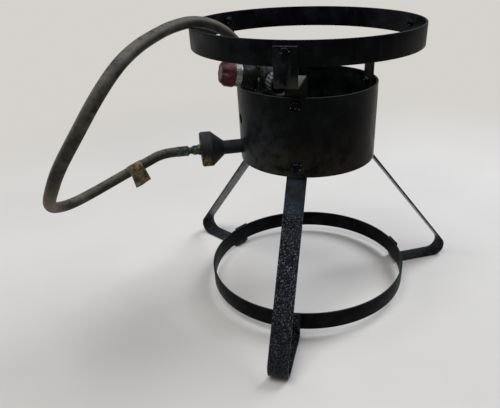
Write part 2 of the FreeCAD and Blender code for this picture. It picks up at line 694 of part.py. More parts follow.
def build_cap():
    """Ported cap over the bowl with its centre screw."""
    top = "Sizes.cap_gauge"
    inside = "Sizes.bowl_radius + Sizes.cap_clearance"
    bore = "Sizes.cap_screw_radius + Sizes.bolt_clearance"
    body = revolved("burner_cap", (
        (bore, "0"), (inside, "0"), (inside, "-Sizes.cap_skirt"),
        ("Sizes.cap_radius", "-Sizes.cap_skirt"),
        ("Sizes.cap_radius", "Sizes.cap_gauge - Sizes.cap_chamfer"),
        ("Sizes.cap_radius - Sizes.cap_chamfer", top), (bore, top)))
    for ring in ("inner", "outer"):
        add_hole_ring(body, ring + "_ports", "Sizes.port_radius", "Sizes.%s_port_pitch" % ring,
                      "Sizes.port_count")
    keep(body, "burner_cap", Placement(Vector(0, 0, BOWL_TOP), Rotation()))
    seat = BOWL_TOP + size("cap_gauge")
    head = cylinder("Sizes.cap_screw_head", "Sizes.cap_screw_radius",
                    Placement(Vector(0, 0, seat), Rotation()))
    foot = BOWL_TOP - size("cap_screw_length") + size("cap_screw_clearance")
    shank = cylinder("Sizes.cap_screw_radius", "%.6f" % (seat - foot),
                     Placement(Vector(0, 0, foot), Rotation()))
    keep(fuse([head, shank], "cap_screw"), "cap_screw")


def build_mount_bolt():
    """Bolt from below that holds the casting on its support."""
    under = SUPPORT_LEVEL
    head = hexagon("Sizes.mount_bolt_flats", "Sizes.mount_bolt_head",
                   Placement(Vector(0, 0, under - size("mount_bolt_head")), Rotation()))
    shank = cylinder("Sizes.mount_bolt_radius", "Sizes.mount_bolt_length",
                     Placement(Vector(0, 0, under), Rotation()))
    keep(fuse([head, shank], "mount_bolt"), "mount_bolt")


def build_air_shutter():
    """Turning disc over the bell's mouth, with air holes that match the web's."""
    body = revolved("air_shutter", (
        ("Sizes.spud_radius + Sizes.running_clearance", "0"), ("Sizes.shutter_radius", "0"),
        ("Sizes.shutter_radius", "Sizes.shutter_gauge"),
        ("Sizes.spud_radius + Sizes.running_clearance", "Sizes.shutter_gauge")))
    add_hole_ring(body, "air_holes", "Sizes.air_hole_radius", "Sizes.air_hole_pitch",
                  "Sizes.air_hole_count")
    keep(body, "air_shutter", along_venturi(size("bell_mouth") + size("shutter_gap")))


def build_gas_inlet():
    """Orifice spud, swivel nut, hose stem and its ferrule, one after another on the venturi's axis."""
    head_face = size("bell_mouth") + 2 * size("shutter_gap") + size("shutter_gauge")
    head = hexagon("Sizes.spud_flats", "Sizes.spud_head", along_venturi(head_face))
    shank = cylinder("Sizes.spud_radius", "Sizes.spud_length",
                     along_venturi(head_face - size("spud_length")))
    bore = cylinder("Sizes.orifice_radius", "Sizes.spud_length + Sizes.spud_head",
                    along_venturi(head_face - size("spud_length")))
    keep(cut(fuse([head, shank]), [bore], "orifice_spud"), "orifice_spud")
    swivel_face = head_face + size("spud_head")
    stem_bore = "Sizes.stem_barb_radius + Sizes.running_clearance"
    swivel = hexagon("Sizes.swivel_flats", "Sizes.swivel_length", along_venturi(swivel_face))
    hole = cylinder(stem_bore, "Sizes.swivel_length", along_venturi(swivel_face))
    keep(cut(swivel, [hole], "hose_swivel_nut"), "hose_swivel_nut")
    collar_face = swivel_face + size("swivel_length")
    ferrule_face = collar_face + size("stem_collar")
    stem_length = "Sizes.swivel_length + Sizes.stem_collar + Sizes.ferrule_length"
    stem = fuse([cylinder("Sizes.stem_barb_radius", stem_length, along_venturi(swivel_face)),
                 cylinder("Sizes.stem_radius", "Sizes.stem_collar", along_venturi(collar_face))])
    keep(cut(stem, [cylinder("Sizes.stem_barb_radius / 2", stem_length, along_venturi(swivel_face))],
             "hose_stem"), "hose_stem")
    keep(ferrule(along_venturi(ferrule_face), "burner_ferrule"), "burner_ferrule")
    return along_venturi(ferrule_face + size("ferrule_length"))


def ferrule(placement, name):
    """Crimped sleeve from its fitting to the hose."""
    sleeve = cylinder("Sizes.ferrule_radius", "Sizes.ferrule_length", placement)
    bore = cylinder("Sizes.stem_barb_radius + Sizes.running_clearance", "Sizes.ferrule_length",
                    placement)
    return cut(sleeve, [bore], name)


# ---------------------------------------------------------------- regulator

def build_regulator_body():
    """Lower chamber with its flange and the inlet and outlet bosses."""
    chamber = revolved("RegulatorChamber", (
        ("0", "-Sizes.chamber_bottom"), ("Sizes.chamber_radius", "-Sizes.chamber_bottom"),
        ("Sizes.chamber_radius", "Sizes.flange_start"), ("Sizes.flange_radius", "Sizes.flange_start"),
        ("Sizes.flange_radius", "Sizes.flange_start + Sizes.flange_gauge"),
        ("Sizes.cavity_radius", "Sizes.flange_start + Sizes.flange_gauge"),
        ("Sizes.cavity_radius", "Sizes.flange_start"), ("0", "Sizes.flange_start")))
    chamber.Placement = REGULATOR
    bosses = cylinder("Sizes.port_boss_radius", "2 * Sizes.port_boss_reach",
                      on_regulator(y=-size("port_boss_reach"), turn=TO_INLET))
    bore = cylinder("Sizes.inlet_bore", "2 * Sizes.port_boss_reach",
                    on_regulator(y=-size("port_boss_reach"), turn=TO_INLET))
    seat = cylinder("Sizes.inlet_bore", "Sizes.flange_start", on_regulator())
    keep(cut(fuse([chamber, bosses]), [bore, seat] + flange_screw_tools("Sizes.flange_screw_radius"),
             "regulator_body"), "regulator_body")


def flange_screw_tools(radius):
    """Through holes or shanks of the flange screws."""
    start = size("flange_start")
    height = "2 * Sizes.flange_gauge + Sizes.diaphragm_gauge"
    tools = []
    for index in range(int(size("flange_screw_count"))):
        turn = math.radians(360.0 * (index + 0.5) / size("flange_screw_count"))
        pitch = size("flange_screw_pitch")
        place = on_regulator(pitch * math.cos(turn), pitch * math.sin(turn), start)
        tools.append(cylinder(radius, height, place))
    return tools


def build_bonnet():
    """Bonnet over the spring, its zinc collar, and the flange screws."""
    start = "Sizes.flange_start + Sizes.flange_gauge + Sizes.diaphragm_gauge"
    flange_top = start + " + Sizes.flange_gauge"
    inner = "Sizes.bonnet_radius - Sizes.bonnet_wall"
    screw = "Sizes.screw_radius + Sizes.running_clearance"
    shell = revolved("BonnetShell", (
        ("Sizes.cavity_radius", start), ("Sizes.flange_radius", start),
        ("Sizes.flange_radius", flange_top),
        ("Sizes.bonnet_cone_radius", flange_top), ("Sizes.bonnet_radius", "Sizes.bonnet_cone_end"),
        ("Sizes.bonnet_radius", "Sizes.bonnet_end"), (screw, "Sizes.bonnet_end"),
        (screw, "Sizes.bonnet_end - Sizes.bonnet_wall"),
        (inner, "Sizes.bonnet_end - Sizes.bonnet_wall"),
        (inner, flange_top), ("Sizes.cavity_radius", flange_top)))
    shell.Placement = REGULATOR
    holes = flange_screw_tools("Sizes.flange_screw_radius + Sizes.thread_clearance")
    keep(cut(shell, holes, "regulator_bonnet"), "regulator_bonnet")
    collar = revolved("regulator_collar", (
        (screw, "0"), ("Sizes.collar_radius - Sizes.edge_break", "0"),
        ("Sizes.collar_radius", "Sizes.edge_break"),
        ("Sizes.collar_radius", "Sizes.collar_length"), (screw, "Sizes.collar_length")))
    keep(collar, "regulator_collar", on_regulator(z=size("bonnet_end")))
    top = value(flange_top)
    heads = []
    for shank in flange_screw_tools("Sizes.flange_screw_radius - Sizes.thread_clearance"):
        centre = REGULATOR.inverse().multVec(shank.Placement.Base)
        head = cylinder("Sizes.flange_screw_head", "Sizes.flange_screw_radius",
                        on_regulator(centre.x, centre.y, top))
        heads.append(fuse([shank, head], "FlangeScrew"))
    group(heads, "flange_screws")


def build_regulator_inside():
    """Diaphragm, its plate, the spring and the button that the adjusting screw presses."""
    start = size("flange_start") + size("flange_gauge")
    disc = cylinder("Sizes.flange_radius", "Sizes.diaphragm_gauge", on_regulator(z=start))
    holes = flange_screw_tools("Sizes.flange_screw_radius + Sizes.thread_clearance")
    keep(cut(disc, holes, "diaphragm"), "diaphragm")
    plate_level = start + size("diaphragm_gauge")
    plate = cylinder("Sizes.plate_radius - Sizes.plate_gauge", "Sizes.plate_gauge",
                     on_regulator(z=plate_level))
    keep(plate, "diaphragm_plate")
    button_level = size("screw_start") - size("thrust_gap") - size("plate_gauge")
    button = cylinder("Sizes.spring_radius", "Sizes.plate_gauge", on_regulator(z=button_level))
    keep(button, "spring_button")
    spring_level = plate_level + size("plate_gauge")
    length = "%.6f" % (button_level - spring_level)
    outer = cylinder("Sizes.spring_radius", length, on_regulator(z=spring_level))
    inner = cylinder("Sizes.spring_radius - Sizes.spring_wire", length, on_regulator(z=spring_level))
    keep(cut(outer, [inner], "regulator_spring"), "regulator_spring")


def build_knob():
    """Fluted adjusting knob and the screw that turns with it."""
    body = revolved("adjusting_knob", (
        ("Sizes.screw_radius", "0"), ("Sizes.knob_radius - Sizes.edge_break", "0"),
        ("Sizes.knob_radius", "Sizes.edge_break"),
        ("Sizes.knob_radius", "Sizes.knob_length - Sizes.knob_chamfer"),
        ("Sizes.knob_radius - Sizes.knob_chamfer", "Sizes.knob_length"),
        ("0", "Sizes.knob_length"), ("0", "Sizes.screw_bite"),
        ("Sizes.screw_radius", "Sizes.screw_bite")))
    add_hole_ring(body, "flutes", "Sizes.knob_flute_radius",
                  "Sizes.knob_radius + Sizes.knob_flute_radius * 0.6", "Sizes.knob_flute_count")
    face = size("bonnet_end") + size("collar_length") + size("shutter_gap")
    keep(body, "adjusting_knob", on_regulator(z=face))
    length = "%.6f" % (face + size("screw_bite") - size("screw_start"))
    screw = cylinder("Sizes.screw_radius", length, on_regulator(z=size("screw_start")))
    keep(screw, "adjusting_screw")


def build_outlet():
    """Elbow from the outlet boss to the hose's second ferrule; returns the hose's end and heading."""
    lean = math.radians(size("elbow_lean"))
    heading = Vector(-math.sin(lean), 0, math.cos(lean))
    to_hose = Rotation(Vector(0, 0, 1), heading)
    offset = size("elbow_offset")
    boss = size("port_boss_reach")
    knuckle = doc.addObject("Part::Sphere", "Knuckle")
    bind(knuckle, Radius="Sizes.elbow_radius")
    knuckle.Placement = on_regulator(y=-offset)
    leg = cylinder("Sizes.elbow_radius", "%.6f" % (offset - boss),
                   on_regulator(y=-boss, turn=TO_OUTLET))
    arm = cylinder("Sizes.elbow_radius", "Sizes.elbow_reach", on_regulator(y=-offset, turn=to_hose))
    bores = [cylinder("Sizes.inlet_bore", "%.6f" % (offset - boss), leg.Placement),
             cylinder("Sizes.inlet_bore", "Sizes.elbow_reach", arm.Placement)]
    keep(cut(fuse([leg, arm, knuckle]), bores, "outlet_elbow"), "outlet_elbow")
    start = Vector(0, -offset, 0) + heading * size("elbow_reach")
    place = on_regulator(start.x, start.y, start.z, to_hose)
    sleeve = cylinder("Sizes.ferrule_radius", "Sizes.ferrule_length", place)
    bore = cylinder("Sizes.inlet_bore", "Sizes.ferrule_length", place)
    keep(cut(sleeve, [bore], "regulator_ferrule"), "regulator_ferrule")
    return place.multiply(Placement(Vector(0, 0, size("ferrule_length")), Rotation()))


def build_inlet():
    """Tank side: nipple with its collar, soft nose, and the ribbed coupling nut that turns on it."""
    boss = size("port_boss_reach")
    place = on_regulator(y=boss, turn=TO_INLET)
    stem = cylinder("Sizes.inlet_radius", "Sizes.inlet_length", place)
    collar_start = size("coupling_start") + size("coupling_web") + size("shutter_gap")
    collar = cylinder("Sizes.inlet_collar_radius", "Sizes.bar_gauge",
                      on_regulator(y=boss + collar_start, turn=TO_INLET))
    bore = cylinder("Sizes.inlet_bore", "Sizes.inlet_length", place)
    keep(cut(fuse([stem, collar]), [bore], "inlet_nipple"), "inlet_nipple")
    nose_start = boss + size("inlet_length") - size("nose_length")
    nose_place = on_regulator(y=nose_start, turn=TO_INLET)
    nose = cut(cylinder("Sizes.nose_radius", "Sizes.nose_length", nose_place),
               [cylinder("Sizes.inlet_radius + Sizes.thread_clearance", "Sizes.nose_length",
                         nose_place)],
               "inlet_nose")
    keep(nose, "inlet_nose")
    hub = "Sizes.inlet_radius + Sizes.running_clearance"
    body = revolved("coupling_nut", (
        (hub, "0"), ("Sizes.coupling_radius - Sizes.edge_break", "0"),
        ("Sizes.coupling_radius", "Sizes.edge_break"),
        ("Sizes.coupling_radius", "Sizes.coupling_length"),
        ("Sizes.coupling_bore", "Sizes.coupling_length"),
        ("Sizes.coupling_bore", "Sizes.coupling_web"), (hub, "Sizes.coupling_web")))
    add_hole_ring(body, "ribs", "Sizes.coupling_rib_radius",
                  "Sizes.coupling_radius + Sizes.coupling_rib_radius * 0.3",
                  "Sizes.coupling_rib_count")
    keep(body, "coupling_nut", on_regulator(y=boss + size("coupling_start"), turn=TO_INLET))


# ---------------------------------------------------------------- hose

def hose_points(start, end):
    """Route from the first ferrule's mouth to the second's, leaving both square."""
    forward = Vector(0, 0, 1)
    first = start.Base + start.Rotation.multVec(forward) * HOSE_FIRST_RUN
    last = end.Base + end.Rotation.multVec(forward) * HOSE_LAST_RUN
    top = size("guard_top")
    middle = [Vector(x, y, top + height) for x, y, height in HOSE_ROUTE]
    return [start.Base, first] + middle + [last, end.Base]


def hose_path(points):
    """Straight runs joined by tangent arcs as large as the runs allow."""
    edges = []
    start = points[0]
    for before, corner, after in zip(points, points[1:], points[2:]):
        reach = HOSE_ARC_SHARE * min((corner - before).Length, (after - corner).Length)
        half = math.pi / 2 - (before - corner).getAngle(after - corner) / 2
        radius = reach / math.tan(half)
        first, top, last = bend(before, corner, after, radius)
        edges.append(Part.LineSegment(start, first).toShape())
        edges.append(Part.Arc(first, top, last).toShape())
        print("hose bend radius %.1f" % radius)
        start = last
    edges.append(Part.LineSegment(start, points[-1]).toShape())
    return Part.Wire(edges)


def build_hose(start, end):
    """Gas hose as one round tube along its route, and the paper tag wrapped round it."""
    points = hose_points(start, end)
    path = hose_path(points)
    circle = Part.Circle(start.Base, start.Rotation.multVec(Vector(0, 0, 1)), size("hose_radius"))
    tube = path.makePipeShell([Part.Wire([circle.toShape()])], True, False)
    expected = math.pi * size("hose_radius") ** 2 * path.Length
    print("hose length %.1f, volume %.0f of %.0f" % (path.Length, tube.Volume, expected))
    hose = doc.addObject("Part::Feature", "gas_hose")
    hose.Shape = tube
    keep(hose, "gas_hose")
    build_tag(points[2], points[3])


def build_tag(near, far):
    """Paper tag: a sleeve round the hose and a flap hanging under it."""
    forward = (far - near).normalize()
    middle = (near + far) / 2
    side = Vector(0, 0, 1).cross(forward).normalize()
    upward = forward.cross(side)
    turn = Rotation(side, upward, forward, "ZXY")
    half = size("tag_length") / 2
    place = Placement(middle - forward * half, turn)
    inner = "Sizes.hose_radius + Sizes.tag_clearance"
    sleeve = cylinder(inner + " + Sizes.tag_gauge", "Sizes.tag_length", place)
    drop = Placement(Vector(0, -size("tag_drop") / 2, 0), Rotation())
    flap = box("Sizes.tag_gauge", "Sizes.tag_drop", "Sizes.tag_length", place.multiply(drop))
    through = cylinder(inner, "Sizes.tag_length", place)
    keep(cut(fuse([sleeve, flap]), [through], "hose_tag"), "hose_tag")


# ---------------------------------------------------------------- assembly and export

def check_document():
    """Stop if any object failed or any sub-part is not a valid solid."""
    for item in doc.Objects:
        if "Invalid" in item.State or "Error" in item.State:
            raise RuntimeError("%s failed: %s" % (item.Label, item.State))
    for item in parts:
        shape = item.Shape
        if shape.isNull() or not shape.isValid() or not shape.Solids:
            raise RuntimeError("%s has no valid solid" % item.Label)


def export_parts():
    """Write each sub-part to its own file."""
    os.makedirs("parts", exist_ok=True)
    for item in parts:
        item.Shape.exportStep("parts/%s.step" % item.Label)
        print("%-22s solids %d volume %.1f" % (item.Label, len(item.Shape.Solids), item.Shape.Volume))


build_rings()
build_legs()
build_brackets()
build_fasteners()
build_support()
build_casting()
build_cap()
build_mount_bolt()
build_air_shutter()
hose_start = build_gas_inlet()
build_regulator_body()
build_bonnet()
build_regulator_inside()
build_knob()
hose_end = build_outlet()
build_inlet()
build_hose(hose_start, hose_end)
doc.recompute()
check_document()
export_parts()
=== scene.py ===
import math
from functools import partial

import bmesh
import bpy
import numpy as np
from mathutils import Matrix


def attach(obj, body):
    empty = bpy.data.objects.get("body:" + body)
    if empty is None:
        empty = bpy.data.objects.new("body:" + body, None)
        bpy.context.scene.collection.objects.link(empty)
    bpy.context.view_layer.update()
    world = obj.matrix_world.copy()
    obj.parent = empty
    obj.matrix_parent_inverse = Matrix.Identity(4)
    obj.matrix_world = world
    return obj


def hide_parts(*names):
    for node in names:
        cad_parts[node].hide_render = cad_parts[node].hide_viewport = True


# Outdoor stock pot burner stand in black enamel, with its gas hose and hand-adjusted regulator.
# Lengths in the shape functions are millimetres; meshes are made in metres, in the stand's own frame.

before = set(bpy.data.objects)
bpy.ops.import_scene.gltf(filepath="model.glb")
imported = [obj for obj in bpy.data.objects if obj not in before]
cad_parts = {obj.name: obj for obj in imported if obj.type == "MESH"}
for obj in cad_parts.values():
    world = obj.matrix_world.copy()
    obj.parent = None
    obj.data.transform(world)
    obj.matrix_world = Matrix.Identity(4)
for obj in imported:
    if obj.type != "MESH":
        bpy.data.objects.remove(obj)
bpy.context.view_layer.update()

MM = 0.001
TURN = 2 * math.pi
UP = np.array([0.0, 0.0, 1.0])

AZIMUTHS = {"front": 261.3, "left": 141.0, "right": 18.3}
BAR_WIDTH = 31.75
BAR_GAUGE = 3.175
BAR_EDGE = 0.7
SEAT_GAP = 0.03
GUARD_RADIUS = 177.8
GUARD_TOP = 464.2
FLOOR_RING_RADIUS = 181.0
FLOOR_RING_BOTTOM = 13.35
SHROUD_RADIUS = 112.7
SHROUD_BOTTOM = 255.8
SHROUD_TOP = 376.6
ARM_TOP = 408.0
BRACKET_END = 457.5
FOOT_REACH = 315.6
VENTURI_LEVEL = 277.5


def new_object(name, data):
    """Object that holds the data, put in the scene."""
    thing = bpy.data.objects.new(name, data)
    bpy.context.scene.collection.objects.link(thing)
    return thing


def frame_of(x, y, z, origin):
    """Frame, a 4 by 4 array whose columns are its three axes and its origin."""
    place = np.eye(4)
    place[:3] = np.stack([x, y, z, np.asarray(origin, float)], -1)
    return place


# ---------------------------------------------------------------- camera

def make_camera():
    """The photograph's camera: 0.83 m in front of the stand, 0.57 m up, looking 31 degrees down."""
    eye = (0.0, -0.82807, 0.569475)
    yaw, pitch, roll = -0.042, 0.545, -0.022
    focal, sensor, across = 505.85, 36.0, 500.0
    shift_across, shift_up = -39.159, 41.074
    ahead = np.array([math.sin(yaw) * math.cos(pitch), math.cos(yaw) * math.cos(pitch), -math.sin(pitch)])
    level = np.array([math.cos(yaw), -math.sin(yaw), 0.0])
    upward = np.cross(level, ahead)
    data = bpy.data.cameras.new("camera")
    data.sensor_width = sensor
    data.lens = sensor * focal / across
    data.shift_x = shift_across / across
    data.shift_y = shift_up / across
    data.clip_end = 60.0
    camera = new_object("camera", data)
    turn = frame_of(math.cos(roll) * level + math.sin(roll) * upward,
                    math.cos(roll) * upward - math.sin(roll) * level, -ahead, eye)
    camera.matrix_world = Matrix(turn.tolist())
    bpy.context.scene.camera = camera


make_camera()


# ---------------------------------------------------------------- materials

def linear(code):
    """sRGB hex value as a linear colour."""
    channels = [int(code[i:i + 2], 16) / 255 for i in (1, 3, 5)]
    return tuple(c / 12.92 if c <= 0.04045 else ((c + 0.055) / 1.055) ** 2.4 for c in channels) + (1.0,)


def grain(size):
    """Texture scale whose features are about this many millimetres across."""
    return 1 / (size * MM)


def add_node(tree, kind, inputs=None, out=None, stops=(), **settings):
    """Add one shader node with its settings; an input that is a socket is linked, any other is set; give its output."""
    node = tree.nodes.new("ShaderNode" + kind)
    for key, setting in settings.items():
        setattr(node, key, setting)
    for key, value in (inputs or {}).items():
        if isinstance(value, bpy.types.NodeSocket):
            tree.links.new(value, node.inputs[key])
        else:
            node.inputs[key].default_value = value
    for index, (position, code) in enumerate(stops):
        ends = node.color_ramp.elements
        stop = ends[index] if index < len(ends) else ends.new(position)
        stop.position, stop.color = position, linear(code)
    if kind.startswith("Output"):
        return None
    return node.outputs[out] if out else next(socket for socket in node.outputs if socket.enabled)


def emptied(owner):
    """The adder of nodes to the emptied tree of a material or world."""
    owner.use_nodes = True
    owner.node_tree.nodes.clear()
    return partial(add_node, owner.node_tree)


def fresh_tree(name):
    """New material, the adder of its nodes, and the piece's own coordinates."""
    material = bpy.data.materials.new(name)
    add = emptied(material)
    return material, add, add("TexCoord", out="Object")


def enamel(name, base="#050607", dust_and_sheen="#45484c", dusty=0.22, dust_and_sheen_on_top=0.45, gloss=0.34, shine=0.04, tints=(),
           blisters=None, chip_and_glint="#3d3025", chip_and_glint_level=0.72, scar=None):
    """Brushed enamel over steel: slow waves of film thickness, dust on what faces up, chips down to the metal.

    tints are (hex, level of none, level of full, amount, side), the levels in millimetres, where side is
    None or the (x, y) direction from the stand's axis that the tint keeps to; besides heat tints these carry
    painted highlights and painted shade. The dust colour can also lay on a painted sheen. blisters is (none,
    full), the levels between which the film breaks out in thick glossy lumps whose pale tops are painted glints.
    chip_and_glint_level is how strong the noise has to be for a chip, which in a pale colour is a painted glint,
    and scar is the middle of one round black mark, in millimetres.
    """
    material, add, place = fresh_tree(name)
    level = add("SeparateXYZ", {0: place}, "Z")
    facing_up = add("SeparateXYZ", {0: add("NewGeometry", out="Normal")}, "Z")
    cloud, speck, mottle, chips_and_glints = [
        add("TexNoise", {"Vector": place, "Scale": grain(size), "Detail": detail, "Roughness": share})
        for size, detail, share in ((34, 5.0, 0.6), (1.7, 3.0, 0.7), (17, 6.0, 0.68), (4.5, 4.0, 0.75))]
    drawn_out = add("Mapping", {"Vector": place, "Scale": (1.0, 1.0, 0.08)})
    runs = add("TexNoise", {"Vector": drawn_out, "Scale": grain(9), "Detail": 4.0, "Roughness": 0.6})
    # Dust in clouds and drawn-out runs; in a bluish colour, as on the legs, it is a painted sheen.
    patches = add("MapRange", {0: cloud, 1: 0.46, 2: 0.72, 3: 0.0, 4: dusty})
    streaks = add("MapRange", {0: runs, 1: 0.54, 2: 0.72, 3: 0.0, 4: dusty * 0.55})
    # Dust on what faces up; on the bracket's arm and the shroud's rim it is also a painted highlight.
    lying = add("MapRange", {0: facing_up, 1: 0.35, 2: 0.95, 3: 0.0, 4: dust_and_sheen_on_top})
    film = add("Math", {0: patches, 1: streaks}, operation="MAXIMUM")
    film = add("Math", {0: film, 1: lying}, operation="ADD", use_clamp=True)
    broken = add("MapRange", {0: speck, 1: 0.36, 2: 0.6, 3: 0.35, 4: 1.0})
    film = add("Math", {0: film, 1: broken}, operation="MULTIPLY")
    colour = add("Mix", {0: film, 6: linear(base), 7: linear(dust_and_sheen)}, data_type="RGBA")
    mottle = add("MapRange", {0: mottle, 1: 0.36, 2: 0.62})
    for code, none_at, full_at, amount, side in tints:
        share = add("MapRange", {0: level, 1: none_at * MM, 2: full_at * MM, 3: 0.0, 4: amount})
        share = add("Math", {0: share, 1: mottle}, operation="MULTIPLY")
        if side:
            along = add("VectorMath", {0: place, 1: (*side, 0.0)}, "Value", operation="DOT_PRODUCT")
            keeps = add("MapRange", {0: along, 1: 20 * MM, 2: 100 * MM})
            share = add("Math", {0: share, 1: keeps}, operation="MULTIPLY")
        colour = add("Mix", {0: share, 6: colour, 7: linear(code)}, data_type="RGBA")
    # Chips down to the metal; in a pale colour, as on the bolts, they are painted glints.
    chips_and_glints = add("MapRange", {0: chips_and_glints, 1: chip_and_glint_level, 2: chip_and_glint_level + 0.03})
    colour = add("Mix", {0: chips_and_glints, 6: colour, 7: linear(chip_and_glint)}, data_type="RGBA")
    if scar:
        middle, radius = tuple(value * MM for value in scar), 8.0
        reach = add("VectorMath", {0: place, 1: middle}, "Value", operation="DISTANCE")
        mark = add("MapRange", {0: reach, 1: radius * MM, 2: (radius + 1.0) * MM, 3: 1.0, 4: 0.0})
        colour = add("Mix", {0: mark, 6: colour, 7: linear("#020202")}, data_type="RGBA")
    rough = add("MapRange", {0: cloud, 1: 0.35, 2: 0.7, 3: gloss, 4: gloss + 0.18})
    rough = add("Math", {0: film, 1: 0.5, 2: rough}, operation="MULTIPLY_ADD")
    if scar:
        rough = add("Math", {0: rough, 1: mark}, operation="MAXIMUM")
    relief = add("Math", {0: speck, 1: 0.25, 2: cloud}, operation="MULTIPLY_ADD")
    normal = add("Bump", {"Height": relief, "Strength": 0.5, "Distance": 0.5 * MM})
    if blisters:
        # The noise adds 0 to 70 mm to the level, so the levels that it is held against go up by half of that.
        none_at, full_at = blisters
        lift = 70
        wander = add("TexNoise", {"Vector": place, "Scale": grain(26), "Detail": 3.0})
        edge = add("Math", {0: wander, 1: lift * MM, 2: level}, operation="MULTIPLY_ADD")
        where = add("MapRange", {0: edge, 1: (none_at + lift / 2) * MM, 2: (full_at + lift / 2) * MM})
        cells = add("TexVoronoi", {"Vector": place, "Scale": grain(3.0), "Smoothness": 0.2}, feature="SMOOTH_F1")
        # Between the blisters the film is burnt black; their tops are painted pale blue-grey, painted glints where they
        # catch the light, over some rubbed wear.
        burnt = add("Math", {0: where, 1: 0.85}, operation="MULTIPLY")
        colour = add("Mix", {0: burnt, 6: colour, 7: linear(base)}, data_type="RGBA")
        ragged = add("Math", {0: speck, 1: 0.5, 2: cells}, operation="MULTIPLY_ADD")
        painted_glints = add("MapRange", {0: ragged, 1: 0.66, 2: 0.44})
        lit = add("MapRange", {0: runs, 1: 0.4, 2: 0.62, 3: 0.15, 4: 0.85})
        sooty = add("MapRange", {0: level, 1: 50 * MM, 2: 150 * MM, 3: 0.4, 4: 1.0})
        for share in (where, lit, sooty):
            painted_glints = add("Math", {0: painted_glints, 1: share}, operation="MULTIPLY")
        colour = add("Mix", {0: painted_glints, 6: colour, 7: linear("#8c97aa")}, data_type="RGBA")
        lumps = add("Math", {0: 0.7, 1: cells}, operation="SUBTRACT")
        lumps = add("Math", {0: lumps, 1: where}, operation="MULTIPLY")
        normal = add("Bump", {"Height": lumps, "Distance": 2.6 * MM, "Normal": normal})
        slick = add("MapRange", {0: where, 3: 1.0, 4: 0.42})
        rough = add("Math", {0: rough, 1: slick}, operation="MULTIPLY")
    shader = add("BsdfPrincipled", {"Base Color": colour, "Roughness": rough, "Normal": normal,
                                    "IOR": 1.5, "Specular IOR Level": shine})
    add("OutputMaterial", {"Surface": shader})
    return material


def sand_cast_iron(name, base="#12110f", rust="#3b2719", rusty=0.5, painted_from=None):
    """Grey iron as cast in sand: a fine grain all over, rust in clouds, black paint beyond a radius."""
    material, add, place = fresh_tree(name)
    cloud = add("TexNoise", {"Vector": place, "Scale": grain(13), "Detail": 6.0, "Roughness": 0.66})
    sand = add("TexNoise", {"Vector": place, "Scale": grain(1.1), "Detail": 2.0, "Roughness": 0.6})
    spread = add("MapRange", {0: cloud, 1: 0.44, 2: 0.64, 3: 0.0, 4: rusty})
    colour = add("Mix", {0: spread, 6: linear(base), 7: linear(rust)}, data_type="RGBA")
    rough = add("MapRange", {0: cloud, 1: 0.3, 2: 0.7, 3: 0.5, 4: 0.8})
    if painted_from:
        outward = add("VectorMath", {0: place, 1: (1.0, 1.0, 0.0)}, operation="MULTIPLY")
        reach = add("VectorMath", {0: outward}, "Value", operation="LENGTH")
        paint = add("MapRange", {0: reach, 1: (painted_from - 6) * MM, 2: painted_from * MM})
        # Dull black paint: a dark blue-grey body with handling wear that lets the brown grain through.
        coat = add("ValToRGB", {0: cloud}, stops=[(0.38, "#08090a"), (0.56, "#121416"), (0.74, "#2f2d27")])
        facing_up = add("SeparateXYZ", {0: add("NewGeometry", out="Normal")}, "Z")
        lying = add("MapRange", {0: facing_up, 1: 0.0, 2: 0.9, 3: 0.0, 4: 0.25})
        lying = add("Math", {0: lying, 1: cloud}, operation="MULTIPLY")
        coat = add("Mix", {0: lying, 6: coat, 7: linear("#8b9096")}, data_type="RGBA")
        # The mouth's rim is worn: rusty below, with pale drips drawn down across it.
        level = add("SeparateXYZ", {0: place}, "Z")
        below = add("MapRange", {0: level, 1: (VENTURI_LEVEL + 2) * MM, 2: (VENTURI_LEVEL - 12) * MM})
        rim = add("MapRange", {0: reach, 1: (painted_from + 48) * MM, 2: (painted_from + 62) * MM})
        worn = add("Math", {0: below, 1: rim}, operation="MULTIPLY")
        drawn_out = add("Mapping", {"Vector": place, "Scale": (1.0, 1.0, 0.4)})
        drips = add("TexNoise", {"Vector": drawn_out, "Scale": grain(6.5), "Detail": 2.0})
        rusted = add("ValToRGB", {0: drips}, stops=[(0.34, "#17130d"), (0.5, "#3c2d1c"), (0.66, "#6f5b3e")])
        coat = add("Mix", {0: worn, 6: coat, 7: rusted}, data_type="RGBA")
        colour = add("Mix", {0: paint, 6: colour, 7: coat}, data_type="RGBA")
    relief = add("Math", {0: sand, 1: 0.7, 2: cloud}, operation="MULTIPLY_ADD")
    normal = add("Bump", {"Height": relief, "Strength": 0.6, "Distance": 0.6 * MM})
    shader = add("BsdfPrincipled", {"Base Color": colour, "Roughness": rough, "Normal": normal,
                                    "IOR": 1.5, "Specular IOR Level": 0.2})
    add("OutputMaterial", {"Surface": shader})
    return material


def bare_metal(name, stops, roughness, metallic=1.0, cloud_size=6.0, shine=0.5):
    """Bare or plated metal: its tarnish follows clouds, and fine handling marks break up its shine."""
    material, add, place = fresh_tree(name)
    cloud = add("TexNoise", {"Vector": place, "Scale": grain(cloud_size), "Detail": 5.0, "Roughness": 0.62})
    fine = add("TexNoise", {"Vector": place, "Scale": grain(0.9), "Detail": 2.0})
    colour = add("ValToRGB", {0: cloud}, stops=stops)
    rough = add("MapRange", {0: cloud, 1: 0.3, 2: 0.7, 3: roughness + 0.2, 4: roughness})
    relief = add("Math", {0: fine, 1: 0.3, 2: cloud}, operation="MULTIPLY_ADD")
    normal = add("Bump", {"Height": relief, "Strength": 0.5, "Distance": 0.3 * MM})
    shader = add("BsdfPrincipled", {"Base Color": colour, "Roughness": rough, "Normal": normal,
                                    "Metallic": metallic, "Specular IOR Level": shine})
    add("OutputMaterial", {"Surface": shader})
    return material


